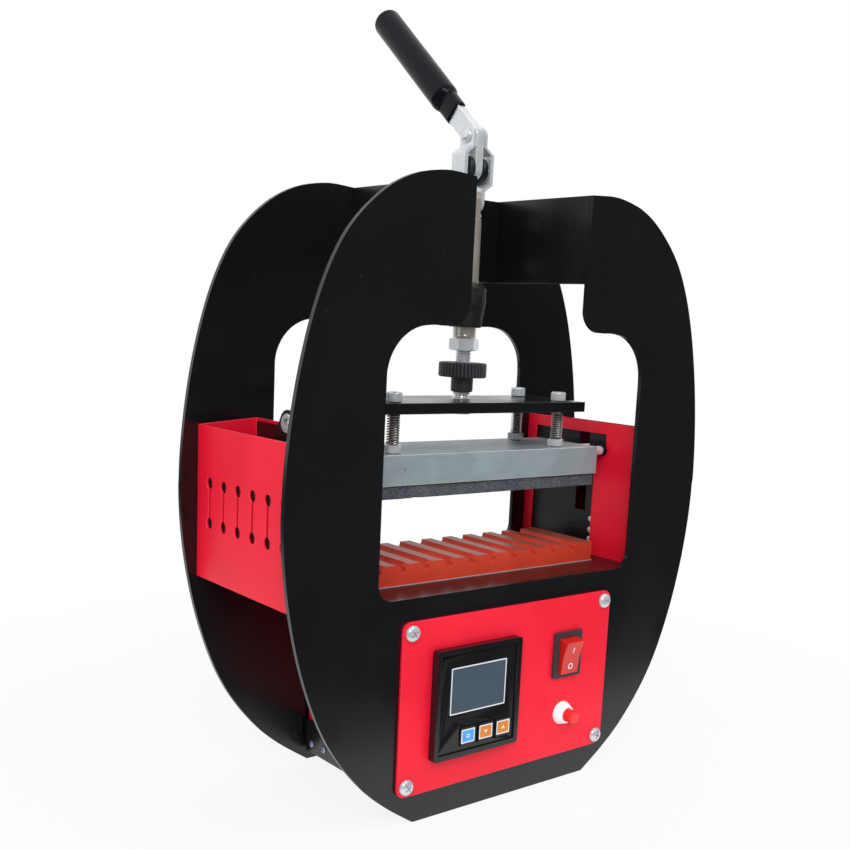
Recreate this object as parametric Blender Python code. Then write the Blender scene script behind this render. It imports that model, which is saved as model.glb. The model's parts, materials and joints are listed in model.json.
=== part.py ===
"""Pen heat press: a frame of two rounded steel plates, a vertical push clamp, a sprung heater block,
a grooved silicone pad for ten pens, guard boxes at both ends and a control base.
Metres, +Z up, front towards -Y. The origin is on the ground, under the middle of the whole press.
Places in this script are counted from the plunger's axis, which stands forward of that."""

from math import atan2, cos, hypot, pi, radians, sin, tan

import bmesh
import bpy
from mathutils import Matrix, Vector

for old in list(bpy.data.objects):
    bpy.data.objects.remove(old, do_unlink=True)

# Fits shared by every piece
FIT = 0.0003
OVERRUN = 0.002
ROUND_STEPS = 24
KNOB_STEPS = 20
ROD_STEPS = 16
SMALL_STEPS = 14
BORE_STEPS = 12
CORNER_STEPS = 5
SHARP_ANGLE = radians(35)

# Frame plates
PLATE_T = 0.003
PLUNGER_FORWARD = 0.0137
FRAME_DEPTH = 0.124
PLATE_HALF_WIDTH = 0.1705
PLATE_HEIGHT = 0.388
OPENING_WIDTH_SHARE = 0.6246
OPENING_BOTTOM = 0.1425
OPENING_TOP = 0.302
OPENING_TOP_RADIUS = 0.030
OPENING_BOTTOM_RADIUS = 0.009
GAP_HALF_WIDTH = 0.048
GAP_HOOK_RADIUS = 0.015
OUTLINE_SHARES = (
    (0.434, 0.0), (0.632, 0.0645), (0.800, 0.155), (0.905, 0.258), (0.972, 0.374), (1.0, 0.490),
    (0.989, 0.606), (0.948, 0.722), (0.882, 0.825), (0.792, 0.903), (0.665, 0.959), (0.545, 0.988),
    (0.420, 0.9995),
)
GAP_CORNER_HEIGHT_SHARE = 0.9975
OUTLINE_STEPS = 3
WEB_HEIGHT = 0.0547
CLAMP_PLATE_FRONT = 0.028

# Press stack, from the bed upwards
BED_TOP = 0.1415
BED_T = 0.002
BED_FLANGE = 0.014
PAD_T = 0.0132
PAD_SIDE_GAP = 0.003
PAD_DEPTH = 0.060
STROKE = 0.040
PRESS_GAP = 0.001
FOAM_T = 0.008
FOAM_INSET = 0.0015
BLOCK_T = 0.019
BLOCK_SIDE_GAP = 0.004
BLOCK_DEPTH = 0.060
SPRING_CLOSED = 0.0125
FLOAT_TRAVEL = 0.006
TOP_PLATE_T = 0.0068
TOP_PLATE_INSET = 0.0145
TOP_PLATE_DEPTH = 0.058
STUB_LENGTH = 0.0047
HUB_HEIGHT = 0.0098
KNOB_T = 0.0095
M10_PITCH = 0.0015
ADJUST_TURNS = 4
ADJUST_RESERVE = 0.0018
PLUNGER_TO_PIN = 0.0862
LINK_LENGTH = 0.040
CRANK = STROKE / 2

# Pen grooves
PEN_COUNT = 10
PEN_PITCH_SHARE = 0.1807
GROOVE_RADIUS = 0.0054
NOTCH_WIDTH = 0.0056
NOTCH_DEPTH = 0.0062
NOTCH_SHOULDER = 0.0024
NOTCH_WALL = 0.0045

# Head bolts and springs
HEAD_BOLT_INSET = 0.018
HEAD_BOLT_Y = 0.0204
CORNERS = (("left_front", -1, -1), ("left_rear", -1, 1), ("right_front", 1, -1), ("right_rear", 1, 1))
M6_RADIUS = 0.003
M6_HEAD_RADIUS = 0.005
M6_HEAD_HEIGHT = 0.006
M6_KEY_FLATS = 0.005
M6_KEY_DEPTH = 0.003
M6_NUT_FLATS = 0.010
M6_NUT_HEIGHT = 0.005
BOLT_ENGAGEMENT = 0.014
SPRING_WIRE = 0.0008
SPRING_RADIUS = 0.0039
SPRING_CURLS = 10
CURL_POINTS = 9

# Heater block fittings
HEATER_RADIUS = 0.004
HEATER_DROP = 0.0060
HEATER_INSERT_SHARE = 0.927
HEATER_REACH = 0.040
BOOT_RADIUS = 0.0052
BOOT_LENGTH = 0.010
BOOT_GRIP = 0.004
BOOT_STRAIGHT_SHARE = 0.6
BOOT_END_SHARE = 0.7

# Spindle and knob
M10_RADIUS = 0.005
M10_NUT_FLATS = 0.017
M10_NUT_HEIGHT = 0.008
SPINDLE_INSERT = 0.030
SPINDLE_TIP_RADIUS = 0.004
SPINDLE_COLLAR_RADIUS = 0.0048
SPINDLE_COLLAR_T = 0.002
SPINDLE_END_RADIUS = 0.0065
SPINDLE_END_T = 0.0025
KNOB_RADIUS = 0.0158
KNURL_COUNT = 40
KNURL_DEPTH = 0.0007
KNURL_CREST_SHARES = (0.3, 0.7)
KNOB_EDGE = 0.0006
HUB_RADIUS = 0.0073

# Push clamp
PLUNGER_RADIUS = 0.0075
TANG_T = 0.006
TANG_SHOULDER = 0.0108
EYE_RADIUS = 0.0065
PIN_RADIUS = 0.0025
PIN_HEAD_RADIUS = 0.0038
PIN_HEAD_T = 0.0012
PIN_HEAD_EDGE = PIN_HEAD_T / 3
PIN_HEAD_FLAT_SHARE = 0.7
BARREL_HEIGHT = 0.0285
BARREL_BELOW_PIVOT = 0.0995
BARREL_RADIUS = 0.0132
BARREL_FOOT_RADIUS = 0.0108
BARREL_TOP_RADIUS = 0.0112
BARREL_SWELL_SHARES = ((0.0, 0.0), (0.5, 0.25), (1.0, 0.6), (0.89, 0.88))
FORK_EYE_RADIUS = 0.008
FORK_EAR_T = 0.0042
FORK_EYE_START = radians(50)
FORK_EYE_END = radians(330)
FORK_CROWN_SHARES = ((0.62, -0.55), (0.40, 0.35))
FLANGE_T = 0.006
FLANGE_HALF_WIDTH = 0.027
FLANGE_TOP_DROP = 0.018
FLANGE_HEIGHT = 0.046
FLANGE_RADIUS = 0.006
FLANGE_HOLE_EDGE = 0.008
CLAMP_BOLT_HEAD = 0.004
CLAMP_BOLT_TAIL = 0.003
LEVER_LEAN = radians(49.6)
LEVER_REACH = 0.1325
LEVER_T = 0.006
GRIP_START = 0.0238
GRIP_COLLAR = 0.0130
GRIP_RADIUS = 0.0095
GRIP_COLLAR_HALF_T = 0.0048
GRIP_COLLAR_WALL = 0.0016
GRIP_POCKET_END = 0.016
GRIP_DOME = 0.005
GRIP_SIDES = 20
GRIP_COLLAR_POWER = 4
GRIP_SHOULDER_SHARES = (0.96, 0.90)
GRIP_SHOULDER_POWER = 2.4
GRIP_END_SHARES = ((0.35, 0.85), (0.0, 0.5))
STRAP_T = 0.0025
STRAP_EYE_LENGTH = 0.0065
STRAP_RAMP = 0.0045
STRAP_BULGE = 0.0062

# Guard boxes
BOX_SHEET = 0.0015
BOX_CLEARANCE = 0.016
BOX_WIDTH = 0.041
BOX_FLOOR = 0.142
BOX_OUTER_TOP = 0.235
BOX_INNER_TOP = 0.2385
VENT_COUNT = 6
VENT_PITCH = 0.0172
VENT_LOW = 0.1757
VENT_HIGH = 0.2003
VENT_END_RADIUS = 0.0037
VENT_SLOT_WIDTH = 0.0026
WINDOW_FRONT = 0.013
WINDOW_FRONT_WIDE = 0.023
WINDOW_REAR_SETBACK = 0.0095
WINDOW_BOTTOM = 0.148
WINDOW_STEP = 0.216
WINDOW_TOP = 0.2305
GUARD_T = 0.0015
GUARD_LAP = 0.004
GUARD_SLOT = 0.005
BRACKET_T = 0.002
BRACKET_OFFSET = 0.014
BRACKET_TOP_RADIUS = 0.008
BRACKET_TOP = 0.2487
BRACKET_SHOULDER = 0.024
BRACKET_SHOULDER_DROP = 0.034
BRACKET_HOLE_RADIUS = 0.004
BRACKET_FOOT = 0.010

# Control base
BASE_HALF_WIDTH = 0.075
BASE_SHEET = 0.0015
TRAY_BOTTOM = 0.008
TRAY_FLANGE = 0.0225
PANEL_WIDTH = 0.178
PANEL_HEIGHT = 0.110
PANEL_T = 0.002
PANEL_CENTRE_Z = 0.0737
PANEL_RADIUS = 0.006
PANEL_SCREW_INSET_X = 0.0065
PANEL_SCREW_INSET_Z = 0.0068
M5_RADIUS = 0.0025
M5_HEAD_RADIUS = 0.005
M5_HEAD_T = 0.0033
M5_RIM_T = 0.0011
M5_LENGTH = 0.010
PANEL_HOLE_EASE = 0.0010

# Temperature controller
METER_X = -0.0316
METER_Z = 0.0739
METER_SIZE = 0.072
METER_BEZEL_T = 0.0055
METER_BEZEL_RADIUS = 0.002
METER_RIM = 0.0035
METER_RECESS = 0.0012
METER_BODY = 0.0665
METER_DEPTH = 0.062
SCREEN_WIDTH = 0.0455
SCREEN_HEIGHT = 0.0305
SCREEN_RISE = 0.0078
SCREEN_T = 0.0012
KEY_SIZE = 0.0122
KEY_PITCH = 0.0146
KEY_DROP = 0.0225
KEY_SHIFT = 0.0070
KEY_PROUD = 0.0010
KEY_TRAVEL = 0.0005
KEY_T = 0.0025
KEY_CORNER = 0.001

# Rocker switch
ROCKER_X = 0.0487
ROCKER_Z = 0.0896
ROCKER_WIDTH = 0.025
ROCKER_HEIGHT = 0.0312
ROCKER_BEZEL_T = 0.0022
ROCKER_BODY_WIDTH = 0.0212
ROCKER_BODY_HEIGHT = 0.0268
ROCKER_BODY_DEPTH = 0.019
ROCKER_WELL_DEPTH = 0.009
ROCKER_WELL_WIDTH = 0.0166
ROCKER_WELL_HEIGHT = 0.0242
ROCKER_PADDLE_HALF = 0.0108
ROCKER_PADDLE_T = 0.0060
ROCKER_PIVOT_RADIUS = 0.0016
ROCKER_TILT = radians(12)
ROCKER_FOLD = radians(12)
ROCKER_SIDE_GAP = 0.0006

# Push button
BUTTON_X = 0.048
BUTTON_Z = 0.0483
BUSHING_RADIUS = 0.0068
BUSHING_PROUD = 0.0065
BUSHING_EDGE = 0.0012
BUSHING_THREAD_RADIUS = 0.0060
BUSHING_DEPTH = 0.016
BUSHING_BACK = 0.006
CAP_RADIUS = 0.0044
CAP_PROUD = 0.0065
CAP_EDGE = 0.0012
CAP_TRAVEL = 0.0025
CAP_GUIDE = 0.0020

# Mains inlet and what the base holds
INLET_X = 0.045
INLET_Z = 0.050
INLET_WIDTH = 0.031
INLET_HEIGHT = 0.024
INLET_T = 0.003
INLET_BODY_WIDTH = 0.0270
INLET_BODY_HEIGHT = 0.0198
INLET_DEPTH = 0.020
INLET_CORNER = 0.004
INLET_WELL_WIDTH = 0.0235
INLET_WELL_HEIGHT = 0.0155
INLET_WELL_DEPTH = 0.015
INLET_PIN_PITCH = 0.007
INLET_PIN_RISE = 0.004
INLET_PIN_WIDTH = 0.002
INLET_PIN_LENGTH = 0.012
RELAY_SIZE = (0.045, 0.058, 0.023)
RELAY_PLACE_SHARES = (-0.42, 0.30)

# Widths and depths worked out from the plates
PLATE_INNER_Y = FRAME_DEPTH / 2 - PLATE_T
OPENING_HALF_WIDTH = PLATE_HALF_WIDTH * OPENING_WIDTH_SHARE
PAD_HALF_WIDTH = OPENING_HALF_WIDTH - PAD_SIDE_GAP
PEN_PITCH = PAD_HALF_WIDTH * PEN_PITCH_SHARE
BLOCK_HALF_WIDTH = OPENING_HALF_WIDTH - BLOCK_SIDE_GAP
TOP_PLATE_HALF_WIDTH = BLOCK_HALF_WIDTH - TOP_PLATE_INSET
HEAD_BOLT_X = TOP_PLATE_HALF_WIDTH - HEAD_BOLT_INSET
HEATER_INSERT = 2 * BLOCK_HALF_WIDTH * HEATER_INSERT_SHARE
INNER_WALL_X = BLOCK_HALF_WIDTH + BOX_CLEARANCE
WINDOW_REAR = PLATE_INNER_Y - WINDOW_REAR_SETBACK
PANEL_BACK_Y = -FRAME_DEPTH / 2 - FIT
PANEL_FRONT_Y = PANEL_BACK_Y - PANEL_T

# Travels that follow from the parts
ADJUST_TRAVEL = ADJUST_TURNS * M10_PITCH
SPINDLE_RUN = 2 * ADJUST_TRAVEL
THREAD_SHOWN = ADJUST_TRAVEL + ADJUST_RESERVE
SPRING_LENGTH = SPRING_CLOSED + FLOAT_TRAVEL
CAP_INSERT = CAP_TRAVEL + CAP_GUIDE

# Heights worked out from the stack
GAP_CORNER_Z = PLATE_HEIGHT * GAP_CORNER_HEIGHT_SHARE
PAD_BOTTOM = BED_TOP + FIT
PAD_TOP = PAD_BOTTOM + PAD_T
FOAM_BOTTOM = PAD_TOP + STROKE + PRESS_GAP
BLOCK_BOTTOM = FOAM_BOTTOM + FOAM_T + FIT
BLOCK_TOP = BLOCK_BOTTOM + BLOCK_T
HEAD_NUT_BOTTOM = BLOCK_TOP + FIT
SPRING_BOTTOM = HEAD_NUT_BOTTOM + M6_NUT_HEIGHT + FIT
TOP_PLATE_BOTTOM = SPRING_BOTTOM + SPRING_LENGTH + FIT
TOP_PLATE_TOP = TOP_PLATE_BOTTOM + TOP_PLATE_T
HUB_BOTTOM = TOP_PLATE_TOP + STUB_LENGTH
KNOB_BOTTOM = HUB_BOTTOM + HUB_HEIGHT
KNOB_TOP = KNOB_BOTTOM + KNOB_T
JAM_NUT_BOTTOM = KNOB_TOP + THREAD_SHOWN
PLUNGER_BOTTOM = JAM_NUT_BOTTOM + M10_NUT_HEIGHT + FIT
PIN_LOW_Z = PLUNGER_BOTTOM + PLUNGER_TO_PIN
PIN_HIGH_Z = PIN_LOW_Z + LINK_LENGTH
PIVOT_Z = PIN_HIGH_Z - CRANK
BARREL_BOTTOM = PIVOT_Z - BARREL_BELOW_PIVOT
HEATER_Z = BLOCK_TOP - HEATER_DROP

# Turns that stand an outline up: thickness runs towards -Y, or towards +X
STANDING = Matrix(((1, 0, 0), (0, 0, -1), (0, 1, 0))).to_4x4()
SIDEWAYS = Matrix(((0, 0, 1), (1, 0, 0), (0, 1, 0))).to_4x4()


def material(name, colour, roughness, metallic=0.0):
    """A Principled material, made once and shared by name."""
    known = bpy.data.materials.get(name)
    if known:
        return known
    made = bpy.data.materials.new(name)
    made.use_nodes = True
    shader = made.node_tree.nodes["Principled BSDF"]
    shader.inputs["Base Color"].default_value = (*colour, 1.0)
    shader.inputs["Roughness"].default_value = roughness
    shader.inputs["Metallic"].default_value = metallic
    made.diffuse_color = (*colour, 1.0)
    return made


def black_powder_coat():
    return material("black_powder_coat", (0.012, 0.014, 0.017), 0.35)


def red_paint():
    return material("red_paint", (0.80, 0.02, 0.045), 0.40)


def zinc():
    return material("zinc_plate", (0.62, 0.65, 0.68), 0.28, 1.0)


def bright_steel():
    return material("bright_steel", (0.72, 0.70, 0.66), 0.22, 1.0)


def spring_steel():
    return material("spring_steel", (0.60, 0.60, 0.60), 0.25, 1.0)


def cast_black():
    return material("black_casting", (0.010, 0.011, 0.013), 0.55)


def milled_aluminium():
    return material("milled_aluminium", (0.48, 0.52, 0.52), 0.45, 1.0)


def black_vinyl():
    return material("black_vinyl", (0.012, 0.013, 0.016), 0.40)


def knob_plastic():
    return material("charcoal_plastic", (0.045, 0.043, 0.048), 0.50)


def black_plastic():
    return material("black_plastic", (0.012, 0.012, 0.014), 0.35)


def red_silicone():
    return material("red_silicone", (0.62, 0.055, 0.020), 0.55)


def grey_foam():
    return material("grey_foam", (0.09, 0.10, 0.115), 0.90)


def rocker_red():
    return material("rocker_red", (0.75, 0.03, 0.02), 0.3)


def finish(name, bm, surface, smooth=True):
    """Turns a bmesh into a closed object with one material."""
    bmesh.ops.remove_doubles(bm, verts=bm.verts, dist=FIT / 100)
    bmesh.ops.recalc_face_normals(bm, faces=bm.faces)
    mesh = bpy.data.meshes.new(name)
    bm.to_mesh(mesh)
    bm.free()
    if smooth:
        mesh.shade_smooth()
        mesh.set_sharp_from_angle(angle=SHARP_ANGLE)
    mesh.materials.append(surface)
    piece = bpy.data.objects.new(name, mesh)
    bpy.context.collection.objects.link(piece)
    return piece


def axis_point(name, place, parent=None):
    """An empty on a joint's axis, which the moving pieces hang from."""
    empty = bpy.data.objects.new(name, None)
    bpy.context.collection.objects.link(empty)
    attach(empty, place, parent)
    return empty


def attach(piece, place, parent=None):
    """Puts a piece at a place counted from the plunger's axis, under a parent that isn't turned."""
    origin = Vector((0, PLUNGER_FORWARD, 0))
    above = parent
    while above:
        origin += above.location
        above = above.parent
    piece.parent = parent
    piece.location = Vector(place) - origin
    return piece


def hidden(tool):
    tool.hide_render = True
    tool.display_type = "WIRE"
    return tool


def boolean(piece, tool, operation):
    step = piece.modifiers.new(tool.name, "BOOLEAN")
    step.operation = operation
    step.solver = "EXACT"
    step.object = hidden(tool)
    tool.parent = piece
    return piece


def cut(piece, tool):
    return boolean(piece, tool, "DIFFERENCE")


def join(piece, tool):
    return boolean(piece, tool, "UNION")


def arc(centre, radius, start, end, steps=CORNER_STEPS):
    """Points from one angle to another, both ends included."""
    return [(centre[0] + radius * cos(start + (end - start) * i / steps),
             centre[1] + radius * sin(start + (end - start) * i / steps)) for i in range(steps + 1)]


def circle(centre, radius, steps=SMALL_STEPS):
    return arc(centre, radius, 0, 2 * pi, steps)[:-1]


def rounded_box(width, height, radius, centre=(0, 0), steps=CORNER_STEPS):
    """A rectangle with round corners, anticlockwise."""
    across = width / 2 - radius
    up = height / 2 - radius
    corners = ((across, up, 0), (-across, up, 1), (-across, -up, 2), (across, -up, 3))
    points = []
    for x, y, quarter in corners:
        start = quarter * pi / 2
        points += arc((centre[0] + x, centre[1] + y), radius, start, start + pi / 2, steps)
    return points


def box_outline(width, height, centre=(0, 0)):
    x, y = width / 2, height / 2
    return [(centre[0] + x, centre[1] + y), (centre[0] - x, centre[1] + y),
            (centre[0] - x, centre[1] - y), (centre[0] + x, centre[1] - y)]


def stadium(low, high, radius, steps=CORNER_STEPS * 2):
    """A round-ended bar standing along the second axis, between two centres."""
    return arc((0, high), radius, 0, pi, steps) + arc((0, low), radius, pi, 2 * pi, steps)


def hexagon(flats, centre=(0, 0)):
    return circle(centre, flats / 2 / cos(pi / 6), 6)


def smooth_through(points, steps=OUTLINE_STEPS):
    """A curve that passes through every point, with round shoulders between them."""
    ends = [points[0], *points, points[-1]]
    curve = []
    for a, b, c, d in zip(ends, ends[1:], ends[2:], ends[3:]):
        for step in range(steps):
            t = step / steps
            curve.append(tuple(
                ((2 * q) + (r - p) * t + (2 * p - 5 * q + 4 * r - s) * t ** 2
                 + (3 * q - p - 3 * r + s) * t ** 3) / 2
                for p, q, r, s in zip(a, b, c, d)))
    return curve + [points[-1]]


def slab(outline, depth, holes=(), turn=None):
    """A flat outline with holes, thickened from 0 to depth, then stood up where asked."""
    bm = bmesh.new()
    rings = []
    for loop in (outline, *holes):
        verts = [bm.verts.new((x, y, 0)) for x, y in loop]
        rings += [bm.edges.new((verts[i - 1], verts[i])) for i in range(len(verts))]
    if holes:
        bmesh.ops.triangle_fill(bm, edges=rings, use_beauty=True)
    else:
        bmesh.ops.contextual_create(bm, geom=rings)
    grown = bmesh.ops.extrude_face_region(bm, geom=bm.faces[:])
    moved = [part for part in grown["geom"] if isinstance(part, bmesh.types.BMVert)]
    bmesh.ops.translate(bm, verts=moved, vec=(0, 0, depth))
    if turn is not None:
        bmesh.ops.transform(bm, matrix=turn, verts=bm.verts)
    return bm


def shift(bm, x=0.0, y=0.0, z=0.0):
    bmesh.ops.translate(bm, verts=bm.verts, vec=(x, y, z))
    return bm


def turned(profile, steps=ROUND_STEPS, closed=False, turn=None):
    """A profile of (radius, height) points spun about the upright axis."""
    bm = bmesh.new()
    verts = [bm.verts.new((radius, 0, height)) for radius, height in profile]
    edges = [bm.edges.new(pair) for pair in zip(verts, verts[1:])]
    if closed:
        edges.append(bm.edges.new((verts[-1], verts[0])))
    bmesh.ops.spin(bm, geom=verts + edges, cent=(0, 0, 0), axis=(0, 0, 1), angle=2 * pi,
                   steps=steps, use_merge=True)
    bmesh.ops.remove_doubles(bm, verts=bm.verts, dist=FIT / 100)
    if turn is not None:
        bmesh.ops.transform(bm, matrix=turn, verts=bm.verts)
    return bm


def rod(radius, low, high, steps=SMALL_STEPS, turn=None):
    return turned([(0, low), (radius, low), (radius, high), (0, high)], steps, turn=turn)


def ring(inner, outer, low, high, steps=ROUND_STEPS, turn=None):
    return turned([(inner, low), (outer, low), (outer, high), (inner, high)], steps, True, turn)


def merged(parts):
    """Several closed shapes that don't touch, in one bmesh."""
    whole = bmesh.new()
    for part in parts:
        held = bpy.data.meshes.new("held")
        part.to_mesh(held)
        part.free()
        whole.from_mesh(held)
        bpy.data.meshes.remove(held)
    return whole


def mirrored_x(points):
    """The same outline on the other side, with its direction kept."""
    return [(-x, y) for x, y in reversed(points)]


def plate_outline():
    """One plate: round flanks, a flat foot, the press opening and the gap at its top."""
    flank = smooth_through([(w * PLATE_HALF_WIDTH, h * PLATE_HEIGHT) for w, h in OUTLINE_SHARES])
    hook = arc((GAP_HALF_WIDTH + GAP_HOOK_RADIUS, OPENING_TOP + GAP_HOOK_RADIUS), GAP_HOOK_RADIUS,
               pi, 3 * pi / 2)
    top = arc((OPENING_HALF_WIDTH - OPENING_TOP_RADIUS, OPENING_TOP - OPENING_TOP_RADIUS),
              OPENING_TOP_RADIUS, pi / 2, 0, CORNER_STEPS + 1)
    low = arc((OPENING_HALF_WIDTH - OPENING_BOTTOM_RADIUS, OPENING_BOTTOM + OPENING_BOTTOM_RADIUS),
              OPENING_BOTTOM_RADIUS, 0, -pi / 2)
    right = flank + [(GAP_HALF_WIDTH, GAP_CORNER_Z)] + hook + top + low
    return right + mirrored_x(right)


def panel_screw_places():
    x = PANEL_WIDTH / 2 - PANEL_SCREW_INSET_X
    z = PANEL_HEIGHT / 2 - PANEL_SCREW_INSET_Z
    return [(sx * x, PANEL_CENTRE_Z + sz * z) for sx in (-1, 1) for sz in (-1, 1)]


def panel_holes(ease):
    """Openings for the meter, the rocker, the push button and the four screws."""
    meter = METER_BODY + 2 * ease
    rocker = box_outline(ROCKER_BODY_WIDTH + 2 * ease, ROCKER_BODY_HEIGHT + 2 * ease,
                         (ROCKER_X, ROCKER_Z))
    button = circle((BUTTON_X, BUTTON_Z), BUSHING_THREAD_RADIUS + ease, ROD_STEPS)
    screws = [circle(place, M5_RADIUS + FIT, BORE_STEPS) for place in panel_screw_places()]
    return [box_outline(meter, meter, (METER_X, METER_Z)), rocker, button, *screws]


def front_plate():
    outline = slab(plate_outline(), PLATE_T, panel_holes(PANEL_HOLE_EASE), STANDING)
    piece = finish("front_plate", outline, black_powder_coat())
    return attach(piece, (0, -PLATE_INNER_Y, 0))


def rear_plate():
    inlet = box_outline(INLET_BODY_WIDTH + 2 * FIT, INLET_BODY_HEIGHT + 2 * FIT,
                        (INLET_X, INLET_Z))
    piece = finish("rear_plate", slab(plate_outline(), PLATE_T, [inlet], STANDING),
                   black_powder_coat())
    return attach(piece, (0, FRAME_DEPTH / 2, 0))


def clamp_bolt_places():
    """The clamp's four bolts: corner, place across and height."""
    x = FLANGE_HALF_WIDTH - FLANGE_HOLE_EDGE
    z = FLANGE_HEIGHT / 2 - FLANGE_HOLE_EDGE
    middle = PIVOT_Z - FLANGE_TOP_DROP - FLANGE_HEIGHT / 2
    return [(corner.replace("front", "low").replace("rear", "high"), sx * x, middle + sz * z)
            for corner, sx, sz in CORNERS]


def clamp_bracket():
    """Two cheeks along the top gap and the cross plate that carries the clamp, welded up."""
    y = PLATE_INNER_Y - FIT
    inner, outer = GAP_HALF_WIDTH, GAP_HALF_WIDTH + PLATE_T
    low, high = CLAMP_PLATE_FRONT, CLAMP_PLATE_FRONT + PLATE_T
    half = [(inner, low), (inner, -y), (outer, -y), (outer, y), (inner, y), (inner, high)]
    bm = slab(half + mirrored_x(half), WEB_HEIGHT)
    piece = finish("clamp_bracket", bm, black_powder_coat())
    bottom = GAP_CORNER_Z - WEB_HEIGHT
    for corner, x, z in clamp_bolt_places():
        hole = finish("bracket_hole_" + corner, bore_towards_front(M6_RADIUS + FIT, PLATE_T),
                      black_powder_coat())
        hole.location = (x, high, z - bottom)
        cut(piece, hole)
    return attach(piece, (0, 0, bottom))


def bore_towards_front(radius, depth):
    """A round cutter that runs past both faces of a sheet, whose rear face lies on 0."""
    return towards_front(rod(radius, -OVERRUN, depth + OVERRUN, BORE_STEPS))


def bed():
    """The shelf under the pad, folded down against both plates."""
    y = PLATE_INNER_Y - FIT
    outline = [(y, 0), (-y, 0), (-y, -BED_FLANGE), (-y + BED_T, -BED_FLANGE), (-y + BED_T, -BED_T),
               (y - BED_T, -BED_T), (y - BED_T, -BED_FLANGE), (y, -BED_FLANGE)]
    width = 2 * (INNER_WALL_X - FIT)
    piece = finish("bed", slab(outline, width, turn=SIDEWAYS), black_powder_coat())
    return attach(piece, (-width / 2, 0, BED_TOP))


def pad_profile(groove):
    """The pad seen from the front, with one groove section repeated for each pen."""
    points = [(-PAD_HALF_WIDTH, 0), (PAD_HALF_WIDTH, 0), (PAD_HALF_WIDTH, PAD_T)]
    for index in reversed(range(PEN_COUNT)):
        x = (index - (PEN_COUNT - 1) / 2) * PEN_PITCH
        points += [(x + across, PAD_T + up) for across, up in groove]
    return points + [(-PAD_HALF_WIDTH, PAD_T)]


def pen_channel():
    return arc((0, 0), GROOVE_RADIUS, 0, -pi, 8)


def pen_notch():
    """The narrower opening of a groove in the pad's front wall: sloped lips and a round floor."""
    half = NOTCH_WIDTH / 2
    lip = NOTCH_SHOULDER
    floor = arc((0, half - NOTCH_DEPTH), half, 0, -pi, 6)
    return [(half + lip, 0), (half, -lip), *floor, (-half, -lip), (-half - lip, 0)]


def silicone_pad():
    """Round pen channels behind a front wall in which each one narrows to a notch."""
    body = slab(pad_profile(pen_channel()), PAD_DEPTH - NOTCH_WALL, turn=STANDING)
    piece = finish("silicone_pad", body, red_silicone(), smooth=False)
    wall = slab(pad_profile(pen_notch()), NOTCH_WALL + FIT, turn=STANDING)
    front = finish("pad_front_wall", wall, red_silicone(), smooth=False)
    front.location = (0, -PAD_DEPTH + NOTCH_WALL + FIT, 0)
    join(piece, front)
    return attach(piece, (0, PAD_DEPTH / 2, PAD_BOTTOM))


def side_box(side, name):
    """An open-topped guard box with vents outside and a window towards the heater block."""
    outer = INNER_WALL_X + BOX_WIDTH
    depth = 2 * (PLATE_INNER_Y - FIT)
    shape = [(INNER_WALL_X, BOX_FLOOR), (outer, BOX_FLOOR), (outer, BOX_OUTER_TOP),
             (INNER_WALL_X, BOX_INNER_TOP)]
    hollow = [(INNER_WALL_X + BOX_SHEET, BOX_FLOOR + BOX_SHEET),
              (outer - BOX_SHEET, BOX_FLOOR + BOX_SHEET),
              (outer - BOX_SHEET, BOX_OUTER_TOP + BOX_CLEARANCE),
              (INNER_WALL_X + BOX_SHEET, BOX_INNER_TOP + BOX_CLEARANCE)]
    inner_depth = depth - 2 * BOX_SHEET
    window = [(WINDOW_REAR, WINDOW_BOTTOM), (WINDOW_REAR, WINDOW_TOP),
              (-WINDOW_FRONT_WIDE, WINDOW_TOP), (-WINDOW_FRONT_WIDE, WINDOW_STEP),
              (-WINDOW_FRONT, WINDOW_STEP), (-WINDOW_FRONT, WINDOW_BOTTOM)]
    vents = [vent_outline((index - (VENT_COUNT - 1) / 2) * VENT_PITCH) for index in range(VENT_COUNT)]
    body = finish(name, facing(slab(shape, depth, turn=STANDING), side), red_paint())
    space = finish(name + "_space", facing(slab(hollow, inner_depth, turn=STANDING), side), red_paint())
    space.location = (0, -BOX_SHEET, 0)
    cut(body, space)
    through = BOX_SHEET + 2 * OVERRUN
    opening = shift(slab(window, through, turn=SIDEWAYS), INNER_WALL_X - OVERRUN)
    slots = merged([shift(slab(vent, through, turn=SIDEWAYS), outer - BOX_SHEET - OVERRUN)
                    for vent in vents])
    gate = finish(name + "_window", facing(opening, side), red_paint())
    grid = finish(name + "_vents", facing(slots, side), red_paint())
    for tool in (gate, grid):
        tool.location = (0, -depth / 2, 0)
        cut(body, tool)
    return attach(body, (0, depth / 2, 0))


def facing(bm, side):
    """Turns a shape made for the right side over to the left side."""
    if side < 0:
        bmesh.ops.scale(bm, vec=(-1, 1, 1), verts=bm.verts)
        bmesh.ops.reverse_faces(bm, faces=bm.faces)
    return bm


def vent_outline(centre):
    """A slit with a round hole at each end."""
    half = VENT_SLOT_WIDTH / 2
    open_angle = atan2(half, VENT_END_RADIUS)
    top = arc((centre, VENT_HIGH), VENT_END_RADIUS, open_angle - pi / 2, 3 * pi / 2 - open_angle, 11)
    low = arc((centre, VENT_LOW), VENT_END_RADIUS, open_angle + pi / 2, 5 * pi / 2 - open_angle, 11)
    return top + low


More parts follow.
